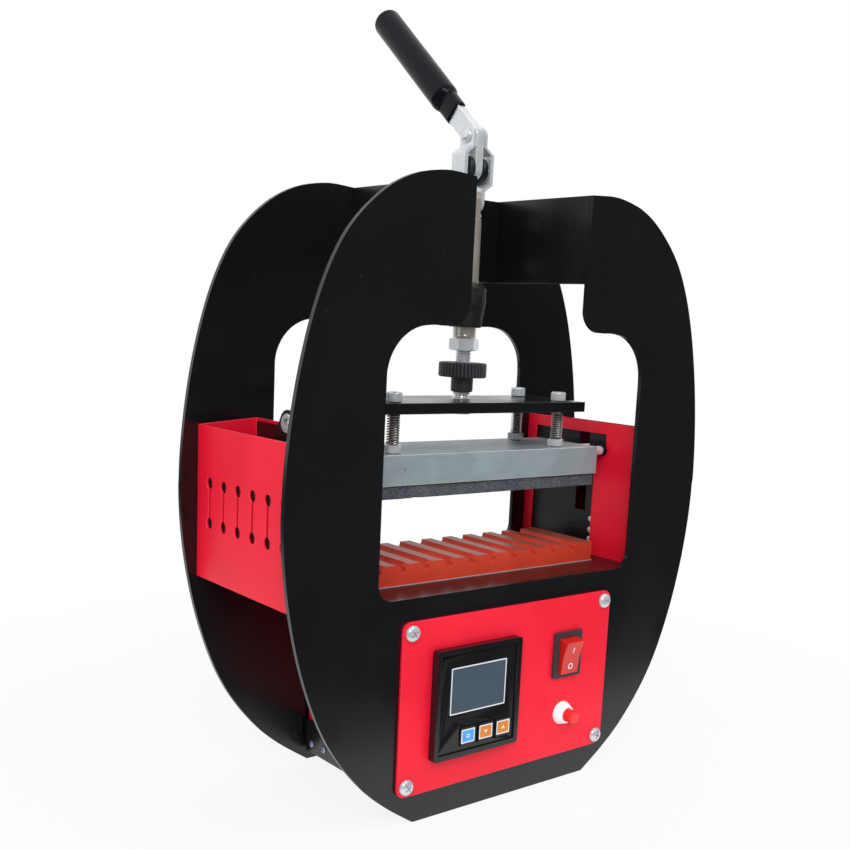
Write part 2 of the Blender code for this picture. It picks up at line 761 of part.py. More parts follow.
def heat_guard(side, name):
    """A black sheet behind each window, slotted for the heater."""
    low = HEATER_Z - STROKE - GUARD_SLOT
    top = BOX_INNER_TOP - BOX_SHEET - FIT
    front, rear = -WINDOW_FRONT_WIDE - GUARD_LAP, WINDOW_REAR + GUARD_LAP
    bottom = BOX_FLOOR + BOX_SHEET + FIT
    outline = [(rear, bottom), (rear, top), (GUARD_SLOT, top), (GUARD_SLOT, low), (-GUARD_SLOT, low),
               (-GUARD_SLOT, top), (front, top), (front, bottom)]
    bm = shift(slab(outline, GUARD_T, turn=SIDEWAYS), INNER_WALL_X + BOX_SHEET + FIT)
    return attach(finish(name, facing(bm, side), black_powder_coat()), (0, 0, 0))


def lead_bracket():
    """A pointed black ear with an eyelet, standing on its foot in the left guard box."""
    bottom = BOX_FLOOR + BOX_SHEET + FIT
    centre = BRACKET_TOP - BRACKET_TOP_RADIUS
    slope = atan2(BRACKET_SHOULDER_DROP, BRACKET_SHOULDER)
    crown = arc((0, centre), BRACKET_TOP_RADIUS, pi / 2 - slope, pi / 2 + slope)
    shoulder = centre - BRACKET_SHOULDER_DROP + BRACKET_TOP_RADIUS
    outline = ([(BRACKET_SHOULDER, bottom), (BRACKET_SHOULDER, shoulder)] + crown
               + [(-BRACKET_SHOULDER, shoulder), (-BRACKET_SHOULDER, bottom)])
    eyelet = circle((0, centre), BRACKET_HOLE_RADIUS)
    place = -(INNER_WALL_X + BRACKET_OFFSET)
    piece = finish("lead_bracket", slab(outline, BRACKET_T, [eyelet], SIDEWAYS), black_powder_coat())
    foot_outline = [(0, bottom), (BRACKET_FOOT, bottom), (BRACKET_FOOT, bottom + BRACKET_T),
                    (0, bottom + BRACKET_T)]
    foot = finish("bracket_foot", slab(foot_outline, 2 * BRACKET_SHOULDER, turn=STANDING),
                  black_powder_coat())
    foot.location = (0, BRACKET_SHOULDER, 0)
    join(piece, foot)
    return attach(piece, (place, 0, 0))


def base_cover():
    """The red cover over the electronics, open towards both plates."""
    x, top = BASE_HALF_WIDTH, BED_TOP - BED_T - FIT
    bottom = TRAY_BOTTOM + BASE_SHEET + FIT
    inner = x - BASE_SHEET
    outline = [(x, bottom), (x, top), (-x, top), (-x, bottom), (-inner, bottom),
               (-inner, top - BASE_SHEET), (inner, top - BASE_SHEET), (inner, bottom)]
    depth = 2 * (PLATE_INNER_Y - BED_T - 2 * FIT)
    piece = finish("base_cover", slab(outline, depth, turn=STANDING), red_paint())
    return attach(piece, (0, depth / 2, 0))


def base_tray():
    """The black floor of the base, folded up outside the cover."""
    x = BASE_HALF_WIDTH + FIT
    outline = [(x + BASE_SHEET, 0), (x + BASE_SHEET, TRAY_FLANGE), (x, TRAY_FLANGE),
               (x, BASE_SHEET), (-x, BASE_SHEET), (-x, TRAY_FLANGE), (-x - BASE_SHEET, TRAY_FLANGE),
               (-x - BASE_SHEET, 0)]
    depth = 2 * (PLATE_INNER_Y - BED_T - 2 * FIT)
    piece = finish("base_tray", slab(outline, depth, turn=STANDING), black_powder_coat())
    return attach(piece, (0, depth / 2, TRAY_BOTTOM))


def pan_screw():
    """A domed screw whose head sits on 0 and whose shank runs down."""
    steps = 4
    rise = M5_HEAD_T - M5_RIM_T
    dome = [(M5_HEAD_RADIUS * cos(i * pi / 2 / steps), M5_RIM_T + rise * sin(i * pi / 2 / steps))
            for i in range(steps)]
    return turned([(0, -M5_LENGTH), (M5_RADIUS, -M5_LENGTH), (M5_RADIUS, 0), (M5_HEAD_RADIUS, 0)]
                  + dome + [(0, M5_HEAD_T)], SMALL_STEPS)


def control_panel():
    """The red front panel with its cut-outs."""
    outline = rounded_box(PANEL_WIDTH, PANEL_HEIGHT, PANEL_RADIUS, (0, PANEL_CENTRE_Z))
    piece = finish("control_panel", slab(outline, PANEL_T, panel_holes(FIT), STANDING), red_paint())
    return attach(piece, (0, PANEL_BACK_Y, 0))


def towards_front(bm):
    """Lays an upright turned shape down so that its top points to -Y."""
    bmesh.ops.transform(bm, matrix=Matrix.Rotation(pi / 2, 4, "X"), verts=bm.verts)
    return bm


def panel_screws():
    for (x, z), (corner, _, _) in zip(panel_screw_places(), CORNERS):
        name = "panel_screw_" + corner.replace("front", "low").replace("rear", "high")
        attach(finish(name, towards_front(pan_screw()), zinc()), (x, PANEL_FRONT_Y - FIT, z))


def key_places():
    """Centres of the three keys, counted from the meter's centre."""
    return [(KEY_SHIFT + (index - 1) * KEY_PITCH, -KEY_DROP) for index in range(3)]


def meter_case():
    """Bezel and body of the temperature controller, with wells for the screen and keys."""
    front = -METER_BEZEL_T - FIT
    bezel = slab(rounded_box(METER_SIZE, METER_SIZE, METER_BEZEL_RADIUS), METER_BEZEL_T, turn=STANDING)
    piece = finish("meter_case", shift(bezel, 0, -FIT), black_plastic())
    body = finish("meter_body", slab(box_outline(METER_BODY, METER_BODY), METER_DEPTH, turn=STANDING),
                  black_plastic())
    body.location = (0, METER_DEPTH - METER_BEZEL_T / 2, 0)
    join(piece, body)
    face = METER_SIZE - 2 * METER_RIM
    recess = finish("meter_recess", slab(box_outline(face, face), METER_RECESS + OVERRUN, turn=STANDING),
                    black_plastic())
    recess.location = (0, front + METER_RECESS, 0)
    cut(piece, recess)
    well = finish("screen_well", slab(box_outline(SCREEN_WIDTH + 2 * FIT, SCREEN_HEIGHT + 2 * FIT),
                                      SCREEN_T + OVERRUN, turn=STANDING), black_plastic())
    well.location = (0, front + METER_RECESS + SCREEN_T, SCREEN_RISE)
    cut(piece, well)
    depth = KEY_T - KEY_PROUD + KEY_TRAVEL + 2 * FIT
    for index, (x, z) in enumerate(key_places()):
        key_well = finish(f"key_well_{index}", slab(
            box_outline(KEY_SIZE + 2 * FIT, KEY_SIZE + 2 * FIT), depth + OVERRUN, turn=STANDING),
            black_plastic())
        key_well.location = (x, front + METER_RECESS + depth, z)
        cut(piece, key_well)
    return attach(piece, (METER_X, PANEL_FRONT_Y, METER_Z))


def meter_face_y():
    return PANEL_FRONT_Y - FIT - METER_BEZEL_T + METER_RECESS


def meter_screen():
    bm = slab(box_outline(SCREEN_WIDTH, SCREEN_HEIGHT), SCREEN_T - FIT, turn=STANDING)
    piece = finish("meter_screen", bm, material("screen_grey", (0.07, 0.10, 0.13), 0.2))
    return attach(piece, (METER_X, meter_face_y() + SCREEN_T - FIT, METER_Z + SCREEN_RISE))


def meter_key(index, name, colour):
    """One key, proud of the meter's face, on its own travel axis."""
    x, z = key_places()[index]
    place = (METER_X + x, meter_face_y() + KEY_T - KEY_PROUD, METER_Z + z)
    axis = axis_point(name + "_axis", place)
    bm = slab(rounded_box(KEY_SIZE, KEY_SIZE, KEY_CORNER, steps=2), KEY_T, turn=STANDING)
    return attach(finish(name, bm, material(name + "_colour", colour, 0.35)), place, axis)


def rocker_housing():
    """The switch's bezel and body, hollow where the paddle rocks."""
    bezel = slab(rounded_box(ROCKER_WIDTH, ROCKER_HEIGHT, KEY_CORNER, steps=2), ROCKER_BEZEL_T,
                 turn=STANDING)
    piece = finish("rocker_housing", shift(bezel, 0, -FIT), black_plastic())
    body = finish("rocker_body", slab(box_outline(ROCKER_BODY_WIDTH, ROCKER_BODY_HEIGHT),
                                      ROCKER_BODY_DEPTH, turn=STANDING), black_plastic())
    body.location = (0, ROCKER_BODY_DEPTH - ROCKER_BEZEL_T / 2, 0)
    join(piece, body)
    well = finish("rocker_well", slab(box_outline(ROCKER_WELL_WIDTH, ROCKER_WELL_HEIGHT),
                                      ROCKER_WELL_DEPTH + OVERRUN, turn=STANDING), black_plastic())
    well.location = (0, ROCKER_WELL_DEPTH - ROCKER_BEZEL_T - FIT, 0)
    cut(piece, well)
    socket = finish("pivot_socket", rod(ROCKER_PIVOT_RADIUS + FIT, -ROCKER_BODY_WIDTH / 2 + OVERRUN / 2,
                                        ROCKER_BODY_WIDTH / 2 - OVERRUN / 2, BORE_STEPS, SIDEWAYS),
                    black_plastic())
    cut(piece, socket)
    return attach(piece, (ROCKER_X, PANEL_FRONT_Y, ROCKER_Z))


def rocker_paddle():
    """A folded paddle on two pivot stubs, its upper half raised as at rest."""
    place = (ROCKER_X, PANEL_FRONT_Y, ROCKER_Z)
    axis = axis_point("rocker_axis", place)
    half, front = ROCKER_PADDLE_HALF, ROCKER_PADDLE_T
    back = ROCKER_PIVOT_RADIUS + FIT
    rise = half * tan(ROCKER_FOLD / 2)
    outline = [(back, -half / 2), (back, half / 2), (-front + back, half), (-front - rise, half),
               (-front, 0), (-front - rise, -half), (-front + back, -half)]
    width = ROCKER_WELL_WIDTH - 2 * ROCKER_SIDE_GAP
    bm = shift(slab(outline, width, turn=SIDEWAYS), -width / 2)
    piece = finish("rocker_paddle", bm, rocker_red())
    reach = ROCKER_BODY_WIDTH / 2 - OVERRUN / 2 - FIT
    stubs = finish("paddle_pivot", rod(ROCKER_PIVOT_RADIUS, -reach, reach, BORE_STEPS, SIDEWAYS),
                   rocker_red())
    join(piece, stubs)
    piece.rotation_euler = (ROCKER_TILT, 0, 0)
    return attach(piece, place, axis)


def button_bushing():
    """The white threaded bushing, bored for the cap and closed by its contact block."""
    bore, bottom = CAP_RADIUS + FIT, -BUSHING_DEPTH
    profile = [(0, bottom), (BUSHING_THREAD_RADIUS, bottom),
               (BUSHING_THREAD_RADIUS, FIT), (BUSHING_RADIUS, FIT),
               (BUSHING_RADIUS, BUSHING_PROUD - BUSHING_EDGE),
               (BUSHING_RADIUS - BUSHING_EDGE, BUSHING_PROUD), (bore, BUSHING_PROUD),
               (bore, bottom + BUSHING_BACK), (0, bottom + BUSHING_BACK)]
    bm = towards_front(turned(profile, ROUND_STEPS))
    piece = finish("button_bushing", bm, material("button_white", (0.85, 0.85, 0.85), 0.35))
    return attach(piece, (BUTTON_X, PANEL_FRONT_Y, BUTTON_Z))


def button_cap():
    """The red cap, which slides in the bushing."""
    place = (BUTTON_X, PANEL_FRONT_Y - BUSHING_PROUD, BUTTON_Z)
    axis = axis_point("button_axis", place)
    profile = [(0, -CAP_INSERT), (CAP_RADIUS, -CAP_INSERT), (CAP_RADIUS, CAP_PROUD - CAP_EDGE),
               (CAP_RADIUS - CAP_EDGE, CAP_PROUD), (0, CAP_PROUD)]
    piece = finish("button_cap", towards_front(turned(profile, KNOB_STEPS)),
                   material("button_red", (0.75, 0.03, 0.02), 0.35))
    return attach(piece, place, axis)


def mains_inlet():
    """A three-pin appliance inlet in the rear plate, facing backwards."""
    flange = rounded_box(INLET_WIDTH, INLET_HEIGHT, INLET_CORNER)
    piece = finish("mains_inlet", slab(flange, INLET_T, turn=STANDING), black_plastic())
    body = finish("inlet_body", slab(box_outline(INLET_BODY_WIDTH, INLET_BODY_HEIGHT),
                                     INLET_DEPTH + INLET_T / 2, turn=STANDING), black_plastic())
    body.location = (0, -INLET_T / 2, 0)
    join(piece, body)
    well = finish("inlet_well", slab(rounded_box(INLET_WELL_WIDTH, INLET_WELL_HEIGHT, INLET_CORNER,
                                                 steps=3), INLET_WELL_DEPTH + OVERRUN, turn=STANDING),
                  black_plastic())
    well.location = (0, OVERRUN, 0)
    cut(piece, well)
    for index, (x, rise) in enumerate(((-1, -1), (0, 1), (1, -1))):
        outline = box_outline(INLET_PIN_WIDTH, INLET_PIN_RISE)
        pin = finish(f"inlet_pin_{index}", slab(outline, INLET_PIN_LENGTH + OVERRUN, turn=STANDING),
                     bright_steel())
        pin.location = (x * INLET_PIN_PITCH, INLET_PIN_LENGTH - INLET_WELL_DEPTH,
                        rise * INLET_PIN_RISE / 2)
        join(piece, pin)
    return attach(piece, (INLET_X, FRAME_DEPTH / 2 + FIT + INLET_T, INLET_Z))


def heater_relay():
    """The relay that switches the heater, on the tray."""
    width, depth, height = RELAY_SIZE
    reach = (BASE_HALF_WIDTH, PLATE_INNER_Y)
    x, y = [share * length for share, length in zip(RELAY_PLACE_SHARES, reach)]
    bm = slab(rounded_box(width, depth, KEY_CORNER, steps=2), height)
    return attach(finish("heater_relay", bm, material("relay_cream", (0.75, 0.73, 0.66), 0.5)),
                  (x, y, TRAY_BOTTOM + BASE_SHEET + FIT))


def clamp_body():
    """The casting: a barrel for the plunger, a bolting flange and a fork behind the plunger."""
    top = BARREL_HEIGHT
    bore = PLUNGER_RADIUS + FIT
    swell = BARREL_RADIUS - BARREL_FOOT_RADIUS
    side = [(BARREL_FOOT_RADIUS + wide * swell, high * top) for wide, high in BARREL_SWELL_SHARES]
    profile = [(bore, 0), *side, (BARREL_TOP_RADIUS, top), (bore, top)]
    piece = finish("clamp_body", turned(profile, closed=True), cast_black())
    lift = BARREL_BELOW_PIVOT
    back = CLAMP_PLATE_FRONT - FIT
    flange_z = lift - FLANGE_TOP_DROP - FLANGE_HEIGHT / 2
    flange = finish("clamp_flange", slab(rounded_box(2 * FLANGE_HALF_WIDTH, FLANGE_HEIGHT,
                                                     FLANGE_RADIUS, (0, flange_z)),
                                         FLANGE_T, turn=STANDING), cast_black())
    flange.location = (0, back, 0)
    join(piece, flange)
    half = TANG_T / 2 + FIT + FORK_EAR_T
    fork = finish("clamp_fork", shift(slab(fork_outline(lift, back), 2 * half, turn=SIDEWAYS), -half),
                  cast_black())
    join(piece, fork)
    for corner, x, z in clamp_bolt_places():
        hole = finish("flange_hole_" + corner, bore_towards_front(M6_RADIUS + FIT, FLANGE_T),
                      cast_black())
        hole.location = (x, back, z - BARREL_BOTTOM)
        cut(piece, hole)
    slot_width = TANG_T + 2 * FIT
    slot_floor = lift - FLANGE_TOP_DROP + EYE_RADIUS / 2
    slot = box_outline(slot_width, FLANGE_HEIGHT, (0, slot_floor + FLANGE_HEIGHT / 2))
    reach = back + FORK_EYE_RADIUS + OVERRUN
    gap = finish("fork_slot", slab(slot, 2 * reach, turn=STANDING), cast_black())
    gap.location = (0, reach, 0)
    cut(piece, gap)
    eye = finish("fork_hole", rod(PIN_RADIUS + FIT, -half - OVERRUN, half + OVERRUN, BORE_STEPS, SIDEWAYS),
                 cast_black())
    eye.location = (0, 0, lift)
    cut(piece, eye)
    return attach(piece, (0, 0, BARREL_BOTTOM))


def fork_outline(lift, back):
    """The fork seen from the side: an eye over the plunger, a neck behind it, a rib to the barrel."""
    eye = arc((0, lift), FORK_EYE_RADIUS, FORK_EYE_START, FORK_EYE_END, 14)
    front = PLUNGER_RADIUS + 3 * FIT
    inside = back - FLANGE_T / 2
    flange_top = lift - FLANGE_TOP_DROP
    neck = [(front, flange_top + FORK_EYE_RADIUS), (front, OVERRUN), (BARREL_FOOT_RADIUS, OVERRUN),
            (inside, flange_top - FLANGE_HEIGHT + FLANGE_RADIUS), (inside, flange_top - FIT)]
    crown = [(along * back, lift + up * FORK_EYE_RADIUS) for along, up in FORK_CROWN_SHARES]
    return eye + neck + crown


def clamp_bolts():
    """Four hex bolts through the flange, threaded into the cross plate."""
    length = FLANGE_T + PLATE_T + CLAMP_BOLT_TAIL
    front = CLAMP_PLATE_FRONT - FIT - FLANGE_T - FIT
    for corner, x, z in clamp_bolt_places():
        bolt = towards_front(hex_bolt(M6_NUT_FLATS, CLAMP_BOLT_HEAD, M6_RADIUS, length))
        attach(finish("clamp_bolt_" + corner, bolt, zinc(), smooth=False), (x, front, z))


def hex_bolt(flats, head_height, radius, length):
    """A hex head standing on 0 with a round shank below, as one closed shape."""
    bm = bmesh.new()
    rims = []
    for outline in (hexagon(flats), circle((0, 0), radius, BORE_STEPS)):
        verts = [bm.verts.new((x, y, 0)) for x, y in outline]
        rims.append([bm.edges.new((verts[i - 1], verts[i])) for i in range(len(verts))])
    bmesh.ops.triangle_fill(bm, edges=rims[0] + rims[1], use_beauty=True)
    for rim, height in zip(rims, (head_height, -length)):
        grown = bmesh.ops.extrude_edge_only(bm, edges=rim)["geom"]
        moved = [part for part in grown if isinstance(part, bmesh.types.BMVert)]
        end = [part for part in grown if isinstance(part, bmesh.types.BMEdge)
               and all(vert in moved for vert in part.verts)]
        bmesh.ops.translate(bm, verts=moved, vec=(0, 0, height))
        bmesh.ops.contextual_create(bm, geom=end)
    return bm


def nut_shape(flats, height, radius):
    return slab(hexagon(flats), height, [circle((0, 0), radius + FIT, BORE_STEPS)])


def cross_pin(name, half_length, headed, place, parent=None):
    """A rivet across the clamp, with or without proud heads."""
    shank = half_length + (FIT if headed else 0)
    profile = [(0, -shank), (PIN_RADIUS, -shank), (PIN_RADIUS, shank), (0, shank)]
    if headed:
        outer = shank + PIN_HEAD_T
        domed = PIN_HEAD_RADIUS * PIN_HEAD_FLAT_SHARE
        profile = [(0, -outer), (domed, -outer), (PIN_HEAD_RADIUS, -shank - PIN_HEAD_EDGE),
                   (PIN_HEAD_RADIUS, -shank), (PIN_RADIUS, -shank), (PIN_RADIUS, shank),
                   (PIN_HEAD_RADIUS, shank), (PIN_HEAD_RADIUS, shank + PIN_HEAD_EDGE),
                   (domed, outer), (0, outer)]
    return attach(finish(name, turned(profile, ROD_STEPS, turn=SIDEWAYS), zinc()), place, parent)


def plunger(axis):
    """The push rod: bored for the spindle below, flattened to a tang for the links above."""
    shoulder = PLUNGER_TO_PIN - TANG_SHOULDER
    bore_top = SPINDLE_INSERT + SPINDLE_RUN
    bore = M10_RADIUS + FIT
    profile = [(0, bore_top), (bore, bore_top - bore / 2), (bore, 0), (PLUNGER_RADIUS - FIT, 0),
               (PLUNGER_RADIUS, 2 * FIT), (PLUNGER_RADIUS, shoulder), (0, shoulder)]
    piece = finish("plunger", turned(profile), bright_steel())
    hole = circle((0, PLUNGER_TO_PIN), PIN_RADIUS + FIT, BORE_STEPS)
    tang_outline = (arc((0, PLUNGER_TO_PIN), EYE_RADIUS, 0, pi, 10)
                    + [(-EYE_RADIUS, shoulder - OVERRUN), (EYE_RADIUS, shoulder - OVERRUN)])
    tang = finish("plunger_tang", shift(slab(tang_outline, TANG_T, [hole], SIDEWAYS), -TANG_T / 2),
                  bright_steel())
    join(piece, tang)
    return attach(piece, (0, 0, PLUNGER_BOTTOM), axis)


def jam_nut(axis):
    bm = nut_shape(M10_NUT_FLATS, M10_NUT_HEIGHT, M10_RADIUS)
    return attach(finish("jam_nut", bm, zinc(), smooth=False), (0, 0, JAM_NUT_BOTTOM), axis)


def spindle(axis):
    """The threaded rod, stepped down where it turns in the top plate and staked over below it."""
    low = TOP_PLATE_BOTTOM - FIT - SPINDLE_END_T - HUB_BOTTOM
    collar = TOP_PLATE_TOP + FIT - HUB_BOTTOM
    top = PLUNGER_BOTTOM + SPINDLE_INSERT - HUB_BOTTOM
    profile = [(0, low), (SPINDLE_END_RADIUS, low), (SPINDLE_END_RADIUS, low + SPINDLE_END_T),
               (SPINDLE_TIP_RADIUS, low + SPINDLE_END_T), (SPINDLE_TIP_RADIUS, collar),
               (SPINDLE_COLLAR_RADIUS, collar), (SPINDLE_COLLAR_RADIUS, collar + SPINDLE_COLLAR_T),
               (SPINDLE_TIP_RADIUS, collar + SPINDLE_COLLAR_T), (SPINDLE_TIP_RADIUS, 0),
               (M10_RADIUS, 0), (M10_RADIUS, top), (0, top)]
    return attach(finish("spindle", turned(profile, KNOB_STEPS), zinc()), (0, 0, HUB_BOTTOM), axis)


def pressure_knob(axis):
    """A knurled disc on a plain hub."""
    rim = []
    for index in range(KNURL_COUNT):
        angle = 2 * pi * index / KNURL_COUNT
        valley = (0, KNOB_RADIUS - KNURL_DEPTH)
        for part, radius in (valley, *((share, KNOB_RADIUS) for share in KNURL_CREST_SHARES)):
            turn = angle + part * 2 * pi / KNURL_COUNT
            rim.append((radius * cos(turn), radius * sin(turn)))
    bore = circle((0, 0), M10_RADIUS + FIT, KNOB_STEPS)
    disc = shift(slab(rim, KNOB_T, [bore]), z=HUB_HEIGHT)
    piece = finish("pressure_knob", disc, knob_plastic(), smooth=False)
    hub = finish("knob_hub", ring(M10_RADIUS + FIT, HUB_RADIUS, 0, HUB_HEIGHT + KNOB_T / 3, KNOB_STEPS),
                 knob_plastic())
    join(piece, hub)
    return attach(piece, (0, 0, HUB_BOTTOM), axis)


def head_bolt_places():
    return [(sx * HEAD_BOLT_X, sy * HEAD_BOLT_Y) for _, sx, sy in CORNERS]


def top_plate(axis):
    """The black pressure plate that the bolts hang from."""
    holes = [circle(place, M6_RADIUS + FIT, BORE_STEPS) for place in head_bolt_places()]
    holes.append(circle((0, 0), SPINDLE_TIP_RADIUS + FIT, ROD_STEPS))
    outline = box_outline(2 * TOP_PLATE_HALF_WIDTH, TOP_PLATE_DEPTH)
    piece = finish("top_plate", slab(outline, TOP_PLATE_T, holes), black_powder_coat())
    return attach(piece, (0, 0, TOP_PLATE_BOTTOM), axis)


def head_bolts(axis):
    """Four socket-head bolts, which rise through the top plate when the springs give."""
    length = TOP_PLATE_TOP + FIT - BLOCK_TOP + BOLT_ENGAGEMENT
    chamfer = M6_HEAD_HEIGHT / 12
    profile = [(0, -length), (M6_RADIUS, -length), (M6_RADIUS, 0), (M6_HEAD_RADIUS, 0),
               (M6_HEAD_RADIUS, M6_HEAD_HEIGHT - chamfer),
               (M6_HEAD_RADIUS - chamfer, M6_HEAD_HEIGHT), (0, M6_HEAD_HEIGHT)]
    for (corner, _, _), (x, y) in zip(CORNERS, head_bolt_places()):
        piece = finish("head_bolt_" + corner, turned(profile, ROD_STEPS), zinc())
        key = finish("bolt_key_" + corner, slab(hexagon(M6_KEY_FLATS), M6_KEY_DEPTH + OVERRUN), zinc())
        key.location = (0, 0, M6_HEAD_HEIGHT - M6_KEY_DEPTH)
        cut(piece, key)
        attach(piece, (x, y, TOP_PLATE_TOP + FIT), axis)


def head_nuts(axis):
    for (corner, _, _), (x, y) in zip(CORNERS, head_bolt_places()):
        bm = nut_shape(M6_NUT_FLATS, M6_NUT_HEIGHT, M6_RADIUS)
        attach(finish("head_nut_" + corner, bm, zinc(), smooth=False), (x, y, HEAD_NUT_BOTTOM), axis)


def spring_route():
    """Points of one spring: a straight end, the curls, and a straight end."""
    climb = SPRING_LENGTH - 2 * SPRING_WIRE
    count = SPRING_CURLS * CURL_POINTS
    route = [(SPRING_RADIUS, 0, 0)]
    for index in range(count + 1):
        angle = 2 * pi * index / CURL_POINTS
        route.append((SPRING_RADIUS * cos(angle), SPRING_RADIUS * sin(angle),
                      SPRING_WIRE + climb * index / count))
    return route + [(route[-1][0], route[-1][1], SPRING_LENGTH)]


def report_spring_gap():
    """Prints the least clear distance between neighbouring turns of a spring."""
    route = spring_route()
    apart = CURL_POINTS // 2 + 1
    least = min(hypot(*(p - q for p, q in zip(route[i], route[j])))
                for i in range(len(route)) for j in range(i + apart, len(route)))
    print(f"spring gap {1000 * (least - SPRING_WIRE):.2f} mm")


def head_springs(axis):
    """Compression springs, each one unbroken tube round its bolt."""
    route = spring_route()
    for (corner, _, _), (x, y) in zip(CORNERS, head_bolt_places()):
        name = "head_spring_" + corner
        curve = bpy.data.curves.new(name, "CURVE")
        curve.dimensions = "3D"
        curve.bevel_depth = SPRING_WIRE / 2
        curve.bevel_resolution = 1
        curve.use_fill_caps = True
        line = curve.splines.new("POLY")
        line.points.add(len(route) - 1)
        for point, place in zip(line.points, route):
            point.co = (*place, 1)
        curve.materials.append(spring_steel())
        piece = bpy.data.objects.new(name, curve)
        bpy.context.collection.objects.link(piece)
        attach(piece, (x, y, SPRING_BOTTOM), axis)


def heater_block(axis):
    """The aluminium block, bored lengthways for the heater and tapped for the bolts."""
    outline = box_outline(2 * BLOCK_HALF_WIDTH, BLOCK_DEPTH)
    piece = finish("heater_block", slab(outline, BLOCK_T), milled_aluminium())
    for (corner, _, _), (x, y) in zip(CORNERS, head_bolt_places()):
        tap = finish("block_tap_" + corner, rod(M6_RADIUS + FIT, -BOLT_ENGAGEMENT - FIT, OVERRUN, BORE_STEPS),
                     milled_aluminium())
        tap.location = (x, y, BLOCK_T)
        cut(piece, tap)
    end = BLOCK_HALF_WIDTH
    bore = finish("heater_bore", rod(HEATER_RADIUS + FIT, end - HEATER_INSERT - FIT, end + OVERRUN, ROD_STEPS,
                                     SIDEWAYS), milled_aluminium())
    bore.location = (0, 0, BLOCK_T - HEATER_DROP)
    cut(piece, bore)
    return attach(piece, (0, 0, BLOCK_BOTTOM), axis)


def cartridge_heater(axis):
    """The steel-cased heater rod, its terminal end standing out of the block."""
    bm = rod(HEATER_RADIUS, -HEATER_INSERT, HEATER_REACH, ROD_STEPS, SIDEWAYS)
    return attach(finish("cartridge_heater", bm, bright_steel()), (BLOCK_HALF_WIDTH, 0, HEATER_Z), axis)


def heater_boot(axis):
    """The black boot over the heater's outer end."""
    bore = HEATER_RADIUS + FIT
    profile = [(0, FIT), (bore, FIT), (bore, -BOOT_GRIP), (BOOT_RADIUS, -BOOT_GRIP),
               (BOOT_RADIUS, BOOT_LENGTH * BOOT_STRAIGHT_SHARE),
               (BOOT_RADIUS * BOOT_END_SHARE, BOOT_LENGTH), (0, BOOT_LENGTH)]
    bm = turned(profile, ROD_STEPS, turn=SIDEWAYS)
    return attach(finish("heater_boot", bm, black_vinyl()),
                  (BLOCK_HALF_WIDTH + HEATER_REACH, 0, HEATER_Z), axis)


def head_foam(axis):
    outline = box_outline(2 * (BLOCK_HALF_WIDTH - FOAM_INSET), BLOCK_DEPTH - 2 * FOAM_INSET)
    return attach(finish("head_foam", slab(outline, FOAM_T), grey_foam()), (0, 0, FOAM_BOTTOM), axis)


def lever_outline():
    """The lever's flat bar from the side: an eye, a crank and a long arm that leans back."""
    s, c = sin(LEVER_LEAN), cos(LEVER_LEAN)
    half = EYE_RADIUS
    length = LEVER_REACH - GRIP_POCKET_END
    inner = half * tan(LEVER_LEAN / 2)
    end = (length * s, CRANK + length * c)
    points = arc((0, 0), half, pi, 2 * pi, 10)
    points.append((half, CRANK - half * s + inner * c))
    points += [(end[0] + half * c, end[1] - half * s), (end[0] - half * c, end[1] + half * s)]
    return points + arc((0, CRANK), half, pi - LEVER_LEAN, pi, 4)


def lever_bar(axis):
    holes = [circle((0, 0), PIN_RADIUS + FIT, BORE_STEPS), circle((0, CRANK), PIN_RADIUS + FIT, BORE_STEPS)]
    bm = shift(slab(lever_outline(), LEVER_T, holes, SIDEWAYS), -LEVER_T / 2)
    return attach(finish("lever_bar", bm, zinc()), (0, 0, PIVOT_Z), axis)


def lever_grip(axis):
    """The dipped grip: a flat collar on the bar that swells into a round, domed handle."""
    wall = GRIP_COLLAR_WALL
    collar = (EYE_RADIUS + wall, GRIP_COLLAR_HALF_T, GRIP_COLLAR_POWER)
    body = (GRIP_RADIUS, GRIP_RADIUS, 2)
    length = LEVER_REACH - GRIP_START
    swell = GRIP_COLLAR + GRIP_DOME / 2
    shoulder = [share * GRIP_RADIUS for share in GRIP_SHOULDER_SHARES]
    dome = [(length - back * GRIP_DOME, wide * GRIP_RADIUS, wide * GRIP_RADIUS, 2)
            for back, wide in GRIP_END_SHARES]
    stations = [(0, *collar), (GRIP_COLLAR, *collar), (swell, *shoulder, GRIP_SHOULDER_POWER),
                (swell + GRIP_DOME, *body), (length - GRIP_DOME, *body), *dome]
    bm = bmesh.new()
    rings = [oval_ring(bm, *station) for station in stations]
    for below, above in zip(rings, rings[1:]):
        bmesh.ops.bridge_loops(bm, edges=below + above)
    for edges in (rings[0], rings[-1]):
        bmesh.ops.contextual_create(bm, geom=edges)
    piece = finish("lever_grip", bm, black_vinyl())
    pocket_depth = LEVER_REACH - GRIP_POCKET_END - GRIP_START + FIT
    pocket = finish("grip_pocket", shift(slab(box_outline(LEVER_T + 2 * FIT, 2 * (EYE_RADIUS + FIT)),
                                              pocket_depth + OVERRUN), z=-OVERRUN), black_vinyl())
    cut(piece, pocket)
    start = Vector((0, sin(LEVER_LEAN), cos(LEVER_LEAN))) * GRIP_START
    piece.rotation_euler = (-LEVER_LEAN, 0, 0)
    return attach(piece, (0, start.y, PIN_HIGH_Z + start.z), axis)


def oval_ring(bm, height, half_y, half_x, power):
    """A closed ring of edges between an ellipse and a rounded rectangle."""
    verts = []
    for index in range(GRIP_SIDES):
        angle = 2 * pi * (index + 0.5) / GRIP_SIDES
        x = abs(cos(angle)) ** (2 / power) * half_x * (1 if cos(angle) > 0 else -1)
        y = abs(sin(angle)) ** (2 / power) * half_y * (1 if sin(angle) > 0 else -1)
        verts.append(bm.verts.new((x, y, height)))
    return [bm.edges.new((verts[i - 1], verts[i])) for i in range(GRIP_SIDES)]


